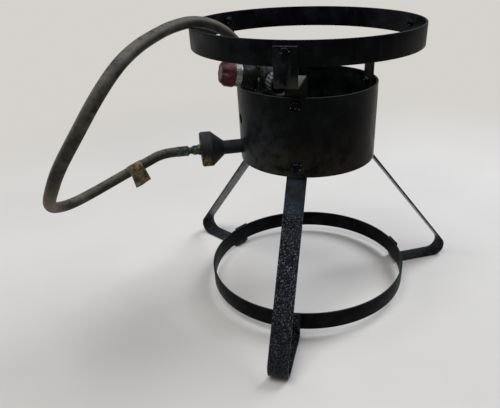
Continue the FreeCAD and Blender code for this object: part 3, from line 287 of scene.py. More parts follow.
def moulding(name, stops, roughness, dust_and_sheen="#8a8782", dusty=0.25, grime="#15100d", grimy=0.4, shine=0.4):
    """Moulded plastic or rubber: faded in clouds, grime in patches, dust where it faces up."""
    material, add, place = fresh_tree(name)
    cloud_size = 8.0
    facing_up = add("SeparateXYZ", {0: add("NewGeometry", out="Normal")}, "Z")
    cloud = add("TexNoise", {"Vector": place, "Scale": grain(cloud_size), "Detail": 5.0, "Roughness": 0.6})
    patch = add("TexNoise", {"Vector": place, "Scale": grain(cloud_size / 2.2), "Detail": 5.0, "Roughness": 0.7})
    fine = add("TexNoise", {"Vector": place, "Scale": grain(0.8), "Detail": 2.0})
    colour = add("ValToRGB", {0: cloud}, stops=stops)
    dirt = add("MapRange", {0: patch, 1: 0.5, 2: 0.66, 3: 0.0, 4: grimy})
    # Dust on what faces up; on the coupling nut it is also a painted highlight.
    lying = add("MapRange", {0: facing_up, 1: -0.1, 2: 0.9, 3: 0.0, 4: dusty})
    broken = add("MapRange", {0: patch, 1: 0.34, 2: 0.56, 3: 1.0, 4: 0.4})
    lying = add("Math", {0: lying, 1: broken}, operation="MULTIPLY")
    for share, code in ((dirt, grime), (lying, dust_and_sheen)):
        colour = add("Mix", {0: share, 6: colour, 7: linear(code)}, data_type="RGBA")
    rough = add("MapRange", {0: patch, 1: 0.3, 2: 0.7, 3: roughness, 4: roughness + 0.2})
    relief = add("Math", {0: fine, 1: 0.3, 2: cloud}, operation="MULTIPLY_ADD")
    normal = add("Bump", {"Height": relief, "Strength": 0.5, "Distance": 0.25 * MM})
    shader = add("BsdfPrincipled", {"Base Color": colour, "Roughness": rough, "Normal": normal,
                                    "IOR": 1.5, "Specular IOR Level": shine})
    add("OutputMaterial", {"Surface": shader})
    return material


# Alkyd enamel brushed on flat mild steel bar. To the eye: near black with a soft sheen, cloudy where the
# film is thin, pale grey dust on every face that looks up.
FRAME_ENAMEL = enamel("alkyd_enamel_on_flat_bar")
# The same enamel where heat has cooked it on the legs. To the eye: bluish satin by the shroud, a painted sheen
# that the bluish dust colour lays on, going over some 30 to 80 mm below it to a skin of hard glossy blisters whose
# pale tops are painted glints that catch the light one by one, browner and duller towards the feet.
LEG_ENAMEL = enamel("heat_blistered_enamel", base="#030406", dust_and_sheen="#434d60", dusty=0.7, dust_and_sheen_on_top=0.2, gloss=0.26,
                    shine=0.16, tints=(("#100e0a", 80, 20, 0.9, None),), blisters=(225, 175))
# Enamel close over the flame. To the eye: dull, grey with dust on what faces up, which on the arm's top is also a
# painted reflection; sooty yellow-green scorch on and just above the arm, with a painted highlight where the bend
# catches the light; black below it, painted shade.
BRACKET_ENAMEL = enamel("scorched_enamel_with_painted_light_on_bar", base="#050607", dust_and_sheen="#6f7378", dusty=0.2, dust_and_sheen_on_top=0.75,
                        gloss=0.42, shine=0.04,
                        tints=(("#37382a", 424, 412, 0.9, None), ("#040504", 406, 400, 1.0, None)))
# Enamel on the rolled sheet round the flame. To the eye: deep black, mottled brown low down in front where it
# runs hottest, olive further left, greyer at its left side, a painted highlight for the light that side catches,
# with one round black mark, thin runs of dust; the pale dust on its upper faces is also a painted highlight
# along the rim.
SHROUD_ENAMEL = enamel("heat_tinted_enamel_with_painted_highlight_on_sheet", base="#030505", dust_and_sheen="#33373a", dusty=0.3, dust_and_sheen_on_top=0.8,
                       gloss=0.24, shine=0.05,
                       tints=(("#241a12", 335, 268, 0.95, (0.45, -0.89)), ("#2c2d1c", 305, 262, 0.95, (-0.6, -0.8)),
                              ("#34383a", 385, 280, 0.8, (-1.0, -0.1))), scar=(-106, -38, 326))
# The same enamel run thick over bolt heads, nuts and welds. To the eye: near black, with small bright spots that
# are painted glints, drawn as places where it is worn through to the metal.
BOLT_ENAMEL = enamel("enamel_run_over_bolts", base="#020203", dust_and_sheen="#5a5c5f", dusty=0.08, dust_and_sheen_on_top=0.5, gloss=0.18,
                     shine=0.03, chip_and_glint="#9da1a4", chip_and_glint_level=0.62)
# Sand-cast grey iron. To the eye: granular and matt, brown where rust has bloomed; outside the shroud dull
# black paint, with a rusty worn lip low on the bell's mouth.
CASTING_IRON = sand_cast_iron("sand_cast_grey_iron", painted_from=112.0)
# The burner's cap, the hottest piece. To the eye: bare iron gone over to dark orange-brown rust.
CAP_IRON = sand_cast_iron("rusted_cast_iron", base="#1b1511", rust="#51321d", rusty=0.85)
# Hot-rolled steel plate, scorched. To the eye: black-brown scale with little shine.
PLATE_STEEL = sand_cast_iron("scaled_steel_plate", base="#0e0d0c", rust="#2c1e15", rusty=0.5)
# Zinc-plated sheet with the plating rubbed off. To the eye: brown-grey, brighter at the rubbed places.
SHUTTER_STEEL = bare_metal("rubbed_zinc_plated_sheet",
                           [(0.36, "#14120e"), (0.5, "#352d20"), (0.62, "#5f533c"), (0.74, "#857758")],
                           0.4, metallic=0.7)
# Bright zinc plating. To the eye: an even neutral grey with slightly milky patches.
ZINC = bare_metal("zinc_plating", [(0.3, "#5e5f5b"), (0.55, "#80817c"), (0.75, "#a3a39c")], 0.36)
# Cold-drawn spring wire. To the eye: dark steel with a tight bright line along each coil.
SPRING_WIRE = bare_metal("cold_drawn_spring_wire", [(0.3, "#4a4c4f"), (0.7, "#74767a")], 0.28)
# Turned brass, tarnished. To the eye: olive brown, yellow only where it is handled.
BRASS = bare_metal("tarnished_turned_brass", [(0.32, "#23231a"), (0.5, "#46412a"), (0.72, "#7d6d40")], 0.36)
# Brass gone green next to the burner. To the eye: dark grey-green with dull gold edges.
GREEN_BRASS = bare_metal("verdigris_on_brass", [(0.34, "#161b13"), (0.5, "#363d31"), (0.7, "#616350")], 0.45,
                         metallic=0.6)
# Crimped aluminium sleeve, weathered. To the eye: chalky light grey with dark lines in the crimps.
CRIMPED_ALUMINIUM = bare_metal("weathered_aluminium", [(0.3, "#55575a"), (0.5, "#8b8d8f"), (0.74, "#b4b6b7")], 0.42)
# Zinc die casting under chipped grey-green paint. To the eye: dark and satin, pale along worn clouds.
REGULATOR_CASTING = bare_metal("painted_zinc_die_casting", [(0.36, "#090c0b"), (0.54, "#141816"), (0.74, "#3f4239")],
                               0.42, metallic=0.15, cloud_size=9.0, shine=0.12)
# ABS dyed red, sun-faded and dirty. To the eye: dusty plum on top, brown grime in the flutes.
KNOB_ABS = moulding("faded_red_abs", [(0.34, "#2c0f15"), (0.52, "#4b1b25"), (0.72, "#63323a")], 0.34,
                    dust_and_sheen="#8d7073", dusty=0.26, grime="#170e0b", grimy=0.75, shine=0.15)
# Glass-filled nylon, black, ribs worn pale. To the eye: grey-black with whitish bloom on top, partly a painted
# highlight where the ribs catch the light.
NUT_NYLON = moulding("bloomed_black_nylon_with_painted_highlight", [(0.3, "#0a0a0b"), (0.52, "#141516"), (0.74, "#313335")], 0.42,
                     dust_and_sheen="#a9adb0", dusty=0.55, grimy=0.2, shine=0.2)
# Nitrile rubber. To the eye: even soft black.
SEAL_RUBBER = moulding("nitrile_rubber", [(0.3, "#0c0c0c"), (0.7, "#191919")], 0.6, dusty=0.1)


def hose_rubber():
    """Extruded nitrile hose cover: faded in clouds, smeared with grime, dust along the upper side."""
    material, add, place = fresh_tree("extruded_hose_rubber")
    facing_up = add("SeparateXYZ", {0: add("NewGeometry", out="Normal")}, "Z")
    cloud, smear, fine = [
        add("TexNoise", {"Vector": place, "Scale": grain(size), "Detail": detail, "Roughness": share})
        for size, detail, share in ((28, 6.0, 0.64), (9, 6.0, 0.72), (1.3, 3.0, 0.6))]
    colour = add("ValToRGB", {0: cloud}, stops=[(0.34, "#171612"), (0.5, "#2b2922"), (0.68, "#4b473b")])
    # Dust along the upper side, partly a painted highlight where the top catches the light.
    dust_and_sheen = add("MapRange", {0: facing_up, 1: 0.1, 2: 0.95, 3: 0.0, 4: 0.5})
    torn = add("MapRange", {0: smear, 1: 0.4, 2: 0.6, 3: 0.2, 4: 1.0})
    dust_and_sheen = add("Math", {0: dust_and_sheen, 1: torn}, operation="MULTIPLY")
    stain = add("MapRange", {0: smear, 1: 0.56, 2: 0.68, 3: 0.0, 4: 0.8})
    # Mud dried round the nearest low bend, the part that is set down first.
    low_bend = (-0.33, -0.255, 0.283)
    bend = add("VectorMath", {0: place, 1: low_bend}, "Value", operation="DISTANCE")
    bend = add("MapRange", {0: bend, 1: 30 * MM, 2: 85 * MM, 3: 0.9, 4: 0.0})
    patchy = add("MapRange", {0: smear, 1: 0.36, 2: 0.56, 3: 0.5, 4: 1.0})
    bend = add("Math", {0: bend, 1: patchy}, operation="MULTIPLY")
    for share, code in ((dust_and_sheen, "#86827a"), (stain, "#15130e"), (bend, "#5a4528")):
        colour = add("Mix", {0: share, 6: colour, 7: linear(code)}, data_type="RGBA")
    rough = add("MapRange", {0: smear, 1: 0.3, 2: 0.7, 3: 0.42, 4: 0.75})
    relief = add("Math", {0: fine, 1: 0.4, 2: smear}, operation="MULTIPLY_ADD")
    normal = add("Bump", {"Height": relief, "Strength": 0.6, "Distance": 0.5 * MM})
    shader = add("BsdfPrincipled", {"Base Color": colour, "Roughness": rough, "Normal": normal,
                                    "IOR": 1.52, "Specular IOR Level": 0.18})
    add("OutputMaterial", {"Surface": shader})
    return material


def tag_paper():
    """Kraft paper tag: soaked brown in clouds, with dark specks where damp has spotted it."""
    material, add, place = fresh_tree("damp_stained_kraft_paper")
    stain = add("TexNoise", {"Vector": place, "Scale": grain(8), "Detail": 6.0, "Roughness": 0.7})
    spots = add("TexNoise", {"Vector": place, "Scale": grain(2.2), "Detail": 4.0, "Roughness": 0.75})
    colour = add("ValToRGB", {0: stain},
                 stops=[(0.34, "#2f2519"), (0.46, "#5a4a33"), (0.58, "#7f6c4e"), (0.72, "#ab9b7b")])
    spotted = add("MapRange", {0: spots, 1: 0.53, 2: 0.6, 3: 0.0, 4: 0.8})
    colour = add("Mix", {0: spotted, 6: colour, 7: linear("#17120d")}, data_type="RGBA")
    relief = add("Math", {0: spots, 1: 0.5, 2: stain}, operation="MULTIPLY_ADD")
    normal = add("Bump", {"Height": relief, "Strength": 0.7, "Distance": 0.4 * MM})
    shader = add("BsdfPrincipled", {"Base Color": colour, "Roughness": 0.75, "Normal": normal,
                                    "Specular IOR Level": 0.25})
    add("OutputMaterial", {"Surface": shader})
    return material


# ---------------------------------------------------------------- shapes

def unit(vectors):
    """Vectors scaled to length one along their last axis; a zero vector stays zero."""
    return vectors / np.maximum(np.linalg.norm(vectors, axis=-1, keepdims=True), 1e-12)


def around(count):
    """Angles evenly round a circle."""
    return np.linspace(0, TURN, count, endpoint=False)


def moved(points, place):
    """Points carried from a piece's own frame, a 4 by 4 array, into the stand's."""
    return points @ place[:3, :3].T + place[:3, 3]


def grid_quads(rows, columns, rows_meet, columns_meet):
    """Quads over a grid of points counted row by row, whose last row and column may run on into the first."""
    i = np.arange(rows if rows_meet else rows - 1)[:, None]
    j = np.arange(columns if columns_meet else columns - 1)[None, :]
    below, beside = (i + 1) % rows, (j + 1) % columns
    corners = np.broadcast_arrays(i * columns + j, i * columns + beside, below * columns + beside, below * columns + j)
    return np.stack(corners, -1).reshape(-1, 4)


def grid_shape(points, loop=False):
    """Grid of points whose columns wrap round; its end rows meet, or each is closed by one flat face."""
    rows, columns = points.shape[:2]
    ends = [] if loop else [np.arange(columns)[::-1], (rows - 1) * columns + np.arange(columns)]
    return points.reshape(-1, 3), grid_quads(rows, columns, loop, True), ends


def turned_shape(profile, place, segments=72, radius=None, loop=False):
    """Surface of revolution: each (radius, height) of the profile swept round the place's Z axis.

    A radius array, one row for each profile row and one column for each angle, takes the place of the
    profile's own radius where the outline isn't round.
    """
    profile = np.asarray(profile, float)
    angles = around(segments)
    radius = profile[:, :1] + 0 * angles if radius is None else radius
    points = np.stack([radius * np.cos(angles), radius * np.sin(angles), profile[:, 1:2] + 0 * angles], -1)
    return grid_shape(moved(points, place), loop)


def rounded_line(corners, radii, closed=False, steps=7):
    """Line through corners, each replaced by its tangent arc: the two touching radii, blended evenly by angle."""
    corners = np.asarray(corners, float)
    radii = np.array(np.broadcast_to(radii, len(corners)), float)
    back, ahead = np.roll(corners, 1, 0) - corners, np.roll(corners, -1, 0) - corners
    if not closed:
        radii[[0, -1]] = 0
    back, ahead = unit(back), unit(ahead)
    half = np.arccos(np.clip((back * ahead).sum(1), -1, 1)) / 2
    half = np.clip(half, 1e-4, math.pi / 2 - 1e-6)[:, None]
    reach = radii[:, None]
    centre = corners + unit(back + ahead) * reach / np.sin(half)
    first = corners + back * reach / np.tan(half) - centre
    last = corners + ahead * reach / np.tan(half) - centre
    sweep = (math.pi - 2 * half)[:, None]
    t = np.linspace(0, 1, steps)[None, :, None]
    arcs = (np.sin((1 - t) * sweep) * first[:, None] + np.sin(t * sweep) * last[:, None]) / np.sin(sweep)
    kept = (reach > 0) | (np.arange(steps) == 0)
    return (centre[:, None] + arcs)[kept]


def offset_line(corners, distance):
    """Corners moved sideways along their mitres, so that every run stays parallel to itself."""
    corners = np.asarray(corners, float)
    runs = unit(np.diff(corners, axis=0))
    sides = np.stack([runs[:, 1], -runs[:, 0]], -1)
    before, after = np.concatenate([sides[:1], sides]), np.concatenate([sides, sides[-1:]])
    mitre = unit(before + after)
    return corners + mitre * distance / (before * mitre).sum(1, keepdims=True)


def outward_place(radius, azimuth, level):
    """Frame at a radius and azimuth whose Z points away from the stand's axis and whose Y points up."""
    turn = math.radians(azimuth)
    z = np.array([math.cos(turn), math.sin(turn), 0.0])
    return frame_of(np.cross(UP, z), UP, z, (radius * z[0], radius * z[1], level))


def shifted(place, y=0.0, z=0.0, spin=0.0):
    """The same frame moved along its own axes and spun about its own Z, in radians."""
    step = np.eye(4)
    step[:2, :2] = [[math.cos(spin), -math.sin(spin)], [math.sin(spin), math.cos(spin)]]
    step[:3, 3] = (0.0, y, z)
    return place @ step


def facing(place, towards):
    """Frame at the same point whose Z is one of the place's own directions."""
    z = unit(place[:3, :3] @ np.asarray(towards, float))
    x = unit(np.cross(place[:3, 0] if abs(place[:3, 0] @ z) < 0.9 else place[:3, 1], z))
    return frame_of(x, np.cross(z, x), z, place[:3, 3])


# ---------------------------------------------------------------- pieces

def dress(piece, material, body, nodes):
    """Material, body, and the CAD nodes that a piece stands for, which are hidden."""
    piece.data.materials.clear()
    piece.data.materials.append(material)
    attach(piece, body)
    if nodes:
        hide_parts(*nodes)
    return piece


def place_mesh(name, mesh, sharp):
    """Object for a mesh, shaded smooth except across edges sharper than the angle in degrees."""
    mesh.shade_smooth()
    mesh.set_sharp_from_angle(angle=math.radians(sharp))
    return new_object(name, mesh)


def signed_volume(points, triangles):
    """Six times the volume that the triangles enclose, positive where they face outwards."""
    a, b, c = np.moveaxis((points - points.mean(0))[triangles], 1, 0)
    return np.einsum("ij,ij->", a, np.cross(b, c))


def merge_doubles(mesh, distance, flatten=False):
    """Points nearer than the distance made one, and flat neighbours joined into one face where asked."""
    work = bmesh.new()
    work.from_mesh(mesh)
    bmesh.ops.remove_doubles(work, verts=work.verts, dist=distance)
    if flatten:
        bmesh.ops.dissolve_limit(work, angle_limit=math.radians(1.0), verts=work.verts, edges=work.edges)
    work.to_mesh(mesh)
    work.free()


def make_piece(name, shapes, material, nodes=(), body="stand", sharp=38):
    """One object from closed shapes, each turned so that its faces point outwards; poles are merged."""
    all_points, all_faces, start = [], [], 0
    for points, quads, ends in shapes:
        fans = [np.stack([np.full(len(end) - 2, end[0]), end[1:-1], end[2:]], -1) for end in ends]
        triangles = np.concatenate([quads[:, [0, 1, 2]], quads[:, [0, 2, 3]], *fans])
        order = -1 if signed_volume(points, triangles) < 0 else 1
        all_points.append(points)
        all_faces += (start + quads[:, ::order]).tolist() + [(start + end[::order]).tolist() for end in ends]
        start += len(points)
    mesh = bpy.data.meshes.new(name)
    mesh.from_pydata((np.concatenate(all_points) * MM).tolist(), [], all_faces)
    merge_doubles(mesh, 1e-7)
    return dress(place_mesh(name, mesh, sharp), material, body, nodes)


def softened_copy(node_name, material, edge, body="stand"):
    """Copy of a CAD node: doubles merged, flat faces joined, and edges broken by a bevel in millimetres."""
    sharp = 35
    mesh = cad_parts[node_name].data.copy()
    merge_doubles(mesh, 2e-6, flatten=True)
    piece = place_mesh(node_name + "_soft", mesh, sharp)
    bevel = piece.modifiers.new("broken_edges", "BEVEL")
    bevel.width = edge * MM
    bevel.segments = 2
    bevel.limit_method = "ANGLE"
    bevel.angle_limit = math.radians(sharp)
    bevel.use_clamp_overlap = True
    return dress(piece, material, body, [node_name])


def dress_node(node_name, material):
    """Better material on a CAD node whose shape stays."""
    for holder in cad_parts[node_name].material_slots:
        holder.material = material


# ---------------------------------------------------------------- hose

# The route's points from the part's source, in metres, burner end first.
HOSE_ROUTE = (
    (-0.210185, -0.056319, 0.2775), (-0.232402, -0.062272, 0.2775), (-0.257, -0.072, 0.2665),
    (-0.291, -0.087, 0.252), (-0.331, -0.115, 0.236), (-0.3535, -0.16, 0.235), (-0.356, -0.204, 0.251),
    (-0.337, -0.247, 0.278), (-0.31, -0.284, 0.31), (-0.283, -0.303, 0.349), (-0.253, -0.301, 0.389),
    (-0.229, -0.282, 0.426), (-0.212, -0.246, 0.452), (-0.202, -0.199, 0.463), (-0.193, -0.151, 0.4677),
    (-0.181, -0.104, 0.4717), (-0.157, -0.061, 0.4735), (-0.127, -0.029, 0.4594),
    (-0.105798, -0.013313, 0.434955), (-0.090107, -0.007289, 0.413824),
)
HOSE_RADIUS = 7.75


def make_hose():
    """Gas hose: a circle carried along the smooth line that the route's points control."""
    curve = bpy.data.curves.new("gas_hose_line", "CURVE")
    curve.dimensions = "3D"
    curve.resolution_u = 14
    curve.bevel_depth = HOSE_RADIUS * MM
    curve.bevel_resolution = 7
    curve.use_fill_caps = True
    line = curve.splines.new("NURBS")
    line.points.add(len(HOSE_ROUTE) - 1)
    line.points.foreach_set("co", np.insert(np.array(HOSE_ROUTE), 3, 1.0, axis=1).ravel())
    line.order_u = 3
    line.use_endpoint_u = True
    line.use_smooth = True
    hose = new_object("gas_hose_rubber", curve)
    return dress(hose, hose_rubber(), "stand", ["gas_hose"])


hose = make_hose()


# ---------------------------------------------------------------- bars, rings and welds

SHROUD_INNER = SHROUD_RADIUS - BAR_GAUGE
BAR_SEAT = math.sqrt(SHROUD_INNER ** 2 - (BAR_WIDTH / 2) ** 2) - SEAT_GAP
BAR_INNER = BAR_SEAT - BAR_GAUGE
BRACKET_BOLT_DROP, LEG_BOLT_RISE, GUARD_BOLT_DROP = 10.8, 17.2, 7.0
BRACKET_BOLTS = SHROUD_TOP - BRACKET_BOLT_DROP
LEG_BOLTS = SHROUD_BOTTOM + LEG_BOLT_RISE
GUARD_BOLTS = BRACKET_END - GUARD_BOLT_DROP
BAR_END = 12.7
BEND_RADIUS, TOE_RADIUS = 5.0, 18.0
LEG_BEND_DROP = 2.5
GUARD_SEAM, FLOOR_SEAM = 80.0, 200.0
WELD_LEVELS = (18.0, 40.0)
WELD_RADIUS = 1.5


def bar_section():
    """Rolled flat bar's section: a rectangle with rounded edges, (across gauge, across width)."""
    a, b = BAR_GAUGE / 2, BAR_WIDTH / 2
    return rounded_line([(-a, -b), (a, -b), (a, b), (-a, b)], BAR_EDGE, closed=True, steps=4)


def bent_bar_shape(face, radii, side, azimuth):
    """Flat bar: its section carried along its bent middle line, in the upright plane of its azimuth."""
    middle = offset_line(face, side * BAR_GAUGE / 2)
    line = rounded_line(middle, [0.0, *(np.array(radii) + BAR_GAUGE / 2), 0.0], steps=11)
    steps = unit(np.diff(line, axis=0))
    ahead = unit(np.concatenate([steps[:1], steps[:-1] + steps[1:], steps[-1:]]))
    across = np.stack([ahead[:, 1], -ahead[:, 0]], -1)
    section = bar_section()
    place = outward_place(0.0, azimuth, 0.0)
    flat = line[:, None, :] + across[:, None, :] * section[None, :, :1]
    points = np.stack([section[None, :, 1] + 0 * flat[..., 0], flat[..., 1], flat[..., 0]], -1)
    return grid_shape(moved(points, place))


def band_shape(radius, bottom, seam_azimuth):
    """Rolled ring: the bar's section turned round the axis, a little out of true, swollen at its ground weld.

    The radius at an angle is the bar's own, plus two slow sine waves, plus a bell curve at the seam that
    pushes each side of the section outwards.
    """
    section = bar_section() + (radius - BAR_GAUGE / 2, bottom + BAR_WIDTH / 2)
    angles = around(240)
    away = np.radians((np.degrees(angles) - seam_azimuth + 180) % 360 - 180) * radius
    wave = 0.12 * np.sin(3 * angles + 0.7) + 0.08 * np.sin(7 * angles) - 0.2
    swell = 0.45 * np.exp(-(away / 2.6) ** 2)
    outside = np.sign(section[:, 0] - radius + BAR_GAUGE / 2)
    reach = section[:, 0] + wave[:, None] + swell[:, None] * outside
    points = np.stack([reach * np.cos(angles)[:, None], reach * np.sin(angles)[:, None],
                       section[:, 1] + 0 * reach], -1)
    return grid_shape(points, loop=True)


def bead_shape(start, end, seed):
    """Weld bead: a circle carried along a run that wanders a little, its radius rippling every 1.7 mm."""
    start, end = np.asarray(start, float), np.asarray(end, float)
    length = np.linalg.norm(end - start)
    along = unit(end - start)
    t = np.linspace(0, 1, max(12, int(length / 0.45)))
    wander = np.interp(t, np.linspace(0, 1, 7), np.random.default_rng(seed).uniform(-0.3, 0.3, 7))
    ends = np.sqrt(np.clip(1 - (2 * t - 1) ** 6, 0.02, 1))
    radius = WELD_RADIUS * (ends + 0.1 * np.sin(t * length / 1.7 * TURN))
    x = unit(np.cross(along, (0.3, 0.2, 1.0)))
    y = np.cross(along, x)
    angles = around(14)
    ring = np.cos(angles)[:, None] * x + np.sin(angles)[:, None] * y
    centre = start + t[:, None] * (end - start) + wander[:, None] * x
    return grid_shape(centre[:, None] + radius[:, None, None] * ring)


def make_bars():
    """Three legs and three pot brackets."""
    leg_face = [(BAR_SEAT, LEG_BOLTS + BAR_END), (BAR_SEAT, SHROUD_BOTTOM - LEG_BEND_DROP), (FOOT_REACH, 0.0),
                (FLOOR_RING_RADIUS, 0.0), (FLOOR_RING_RADIUS, FLOOR_RING_BOTTOM + BAR_WIDTH)]
    outer = GUARD_RADIUS + SEAT_GAP
    bracket_face = [(outer, BRACKET_END), (outer, ARM_TOP), (BAR_INNER, ARM_TOP), (BAR_INNER, BRACKET_BOLTS - BAR_END)]
    leg_bends, bracket_bends = (BEND_RADIUS, TOE_RADIUS, BEND_RADIUS), (BEND_RADIUS, BEND_RADIUS)
    for side, azimuth in AZIMUTHS.items():
        make_piece("leg_%s_bar" % side, [bent_bar_shape(leg_face, leg_bends, 1, azimuth)], LEG_ENAMEL,
                   ["leg_" + side])
        make_piece("pot_bracket_%s_bar" % side, [bent_bar_shape(bracket_face, bracket_bends, -1, azimuth)],
                   BRACKET_ENAMEL, ["pot_bracket_" + side])


def make_rings():
    """Guard ring, floor ring, and the welds between the floor ring and the feet."""
    make_piece("guard_ring_band", [band_shape(GUARD_RADIUS, GUARD_TOP - BAR_WIDTH, GUARD_SEAM)], FRAME_ENAMEL,
               ["guard_ring"])
    make_piece("floor_ring_band", [band_shape(FLOOR_RING_RADIUS, FLOOR_RING_BOTTOM, FLOOR_SEAM)], FRAME_ENAMEL,
               ["floor_ring"])
    beads = []
    for index, azimuth in enumerate(AZIMUTHS.values()):
        place = outward_place(FLOOR_RING_RADIUS + 0.6, azimuth, 0.0)
        for end in (-1, 1):
            low, high = moved(np.array([[end * (BAR_WIDTH / 2 + 0.2), level, 0.0] for level in WELD_LEVELS]), place)
            beads.append(bead_shape(low, high, 10 * index + end + 3))
    make_piece("foot_welds", beads, BOLT_ENAMEL)


# ---------------------------------------------------------------- bolts, nuts and washers

HEX_FLATS = 11.1
HEX_SEGMENTS = 96
BOLT_RADIUS = 3.15
BOLT_HEAD = 4.2
BOLT_PROUD = 2.6
HOLE_RADIUS = 3.2
NUT_HEIGHT = 5.6
WASHER_RADIUS = 8.4
WASHER_GAUGE = 1.4


def hex_ends(bottom, top, flats, both=False, chamfer=1.1):
    """Rows of a hexagon whose corners a cone turns off: the limit radius grows as the height leaves the end."""
    t = np.linspace(0, 1, 5)
    limit = flats / 2 * (0.94 + (2 / math.sqrt(3) - 0.94) * t)
    upper = np.stack([limit, top - chamfer * t], -1)[::-1]
    lower = np.stack([limit, bottom + chamfer * t], -1) if both else np.array([(flats, bottom)])
    return np.concatenate([lower, upper])


def hexed(rows, first, last, flats):
    """Radii of a turned shape whose rows from first to last are a hexagon held inside each row's limit."""
    angles = around(HEX_SEGMENTS)
    radius = rows[:, :1] + 0 * angles
    hexagon = flats / 2 / np.cos((angles + math.pi / 6) % (math.pi / 3) - math.pi / 6)
    radius[first:last] = np.minimum(radius[first:last], hexagon)
    return radius


def thread_rows(start, end, radius, pitch=1.27, depth=0.45):
    """Rows of a thread drawn as rings, a crest and a root in each pitch."""
    heights = np.linspace(start, end, 2 * max(2, int(abs(end - start) / pitch)) + 1)
    return np.stack([radius - depth * (np.arange(len(heights)) % 2), heights], -1)


def bolt_shape(place, length):
    """Hexagon bolt along its own Z: threaded shank below zero, chamfered and slightly crowned head above."""
    shank = np.concatenate([[(0.0, -length), (BOLT_RADIUS - 0.9, -length)],
                            thread_rows(-length + 0.5, -length + 10.0, BOLT_RADIUS), [(BOLT_RADIUS, 0.0)]])
    top = hex_ends(0.0, BOLT_HEAD, HEX_FLATS)
    rows = np.concatenate([shank, top, [(HEX_FLATS * 0.3, BOLT_HEAD), (0.0, BOLT_HEAD - 0.15)]])
    return turned_shape(rows, place, HEX_SEGMENTS, hexed(rows, len(shank), len(shank) + len(top), HEX_FLATS))


def nut_shape(place):
    """Hexagon nut along its own Z, chamfered both ends, with a plain bore."""
    outer = hex_ends(0.0, NUT_HEIGHT, HEX_FLATS, both=True)
    rows = np.concatenate([outer, [(HOLE_RADIUS + 0.5, NUT_HEIGHT), (HOLE_RADIUS, NUT_HEIGHT - 0.5),
                                   (HOLE_RADIUS, 0.5), (HOLE_RADIUS + 0.5, 0.0)]])
    return turned_shape(rows, place, HEX_SEGMENTS, hexed(rows, 0, len(outer), HEX_FLATS), loop=True)


def washer_shape(place):
    """Flat washer: a rounded rectangle turned round the bolt's axis."""
    section = [(HOLE_RADIUS, 0), (WASHER_RADIUS, 0), (WASHER_RADIUS, WASHER_GAUGE), (HOLE_RADIUS, WASHER_GAUGE)]
    return turned_shape(rounded_line(section, 0.3, closed=True, steps=4), place, loop=True)


def make_fasteners():
    """The frame's three sets of bolts and nuts, each spun as it was left, and their washers."""
    wall = SHROUD_RADIUS + SEAT_GAP
    head = wall + WASHER_GAUGE
    guard_seat = math.sqrt((GUARD_RADIUS - BAR_GAUGE) ** 2 - (HEX_FLATS / math.sqrt(3)) ** 2) - SEAT_GAP
    sets = (("guard", GUARD_BOLTS, GUARD_RADIUS + SEAT_GAP + BAR_GAUGE, guard_seat, 0.3),
            ("bracket", BRACKET_BOLTS, head, BAR_INNER, 0.9),
            ("leg", LEG_BOLTS, head, BAR_INNER - BAR_GAUGE, 0.15))
    for name, level, head_face, nut_face, spin in sets:
        length = head_face - nut_face + NUT_HEIGHT + BOLT_PROUD
        spins = [(azimuth, spin + 0.37 * (index + 1)) for index, azimuth in enumerate(AZIMUTHS.values())]
        bolts = [bolt_shape(shifted(outward_place(head_face, azimuth, level), spin=angle), length)
                 for azimuth, angle in spins]
        nuts = [nut_shape(shifted(outward_place(nut_face - NUT_HEIGHT, azimuth, level), spin=angle))
                for azimuth, angle in spins]
        make_piece(name + "_bolt_set", bolts, BOLT_ENAMEL, [name + "_bolts"], sharp=30)
        make_piece(name + "_nut_set", nuts, BOLT_ENAMEL, [name + "_nuts"], sharp=30)
        if name != "guard":
            discs = [washer_shape(outward_place(wall, azimuth, level)) for azimuth in AZIMUTHS.values()]
            make_piece(name + "_washer_set", discs, BOLT_ENAMEL, [name + "_washers"])


make_bars()
make_rings()
make_fasteners()
softened_copy("wind_shroud", SHROUD_ENAMEL, 0.7)
softened_copy("burner_support", PLATE_STEEL, 0.5)
softened_copy("burner_casting", CASTING_IRON, 0.8)
softened_copy("burner_cap", CAP_IRON, 0.3)
softened_copy("air_shutter", SHUTTER_STEEL, 0.35, body="shutter")


# ---------------------------------------------------------------- gas fittings

VENTURI_AZIMUTH = 195.0
SPUD_FACE = 180.0
SWIVEL_FACE = 184.6
FERRULE_FACE = 199.6
FERRULE_LENGTH = 18.0
FERRULE_RADIUS = 8.3
CRIMPS = 4


def along_venturi(radius):
    """Frame on the venturi's axis, Z away from the stand."""
    return outward_place(radius, VENTURI_AZIMUTH, VENTURI_LEVEL)


def crimped_shape(place, bore):
    """Crimped sleeve: a tube whose radius falls by a raised cosine in each band, most at the jaws' eight flats."""
    z = np.linspace(0.4, FERRULE_LENGTH - 0.4, 73)
    squeeze = 0.5 - 0.5 * np.cos(np.clip((z - 2.2) / (FERRULE_LENGTH - 4.4), 0, 1) * CRIMPS * TURN)
    rows = np.concatenate([[(bore, 0.0), (FERRULE_RADIUS - 0.7, 0.0)], np.stack([FERRULE_RADIUS + 0 * z, z], -1),
                           [(FERRULE_RADIUS - 0.7, FERRULE_LENGTH), (bore, FERRULE_LENGTH)]])
    depth = np.concatenate([[0, 0], squeeze, [0, 0]])
    flats = 1 - np.cos(around(HEX_SEGMENTS) % (math.pi / 4) - math.pi / 8)
    return turned_shape(rows, place, HEX_SEGMENTS, rows[:, :1] - depth[:, None] * (0.55 + 3.0 * flats), loop=True)


def hexed_fitting(inner, flats, height, place, chamfer):
    """Turned fitting with a hexagon from zero up to a height, after its inner rows and shank."""
    head = hex_ends(0.0, height, flats, both=True, chamfer=chamfer)
    rows = np.concatenate([inner, head])
    return turned_shape(rows, place, HEX_SEGMENTS, hexed(rows, len(inner), len(rows), flats), loop=True)


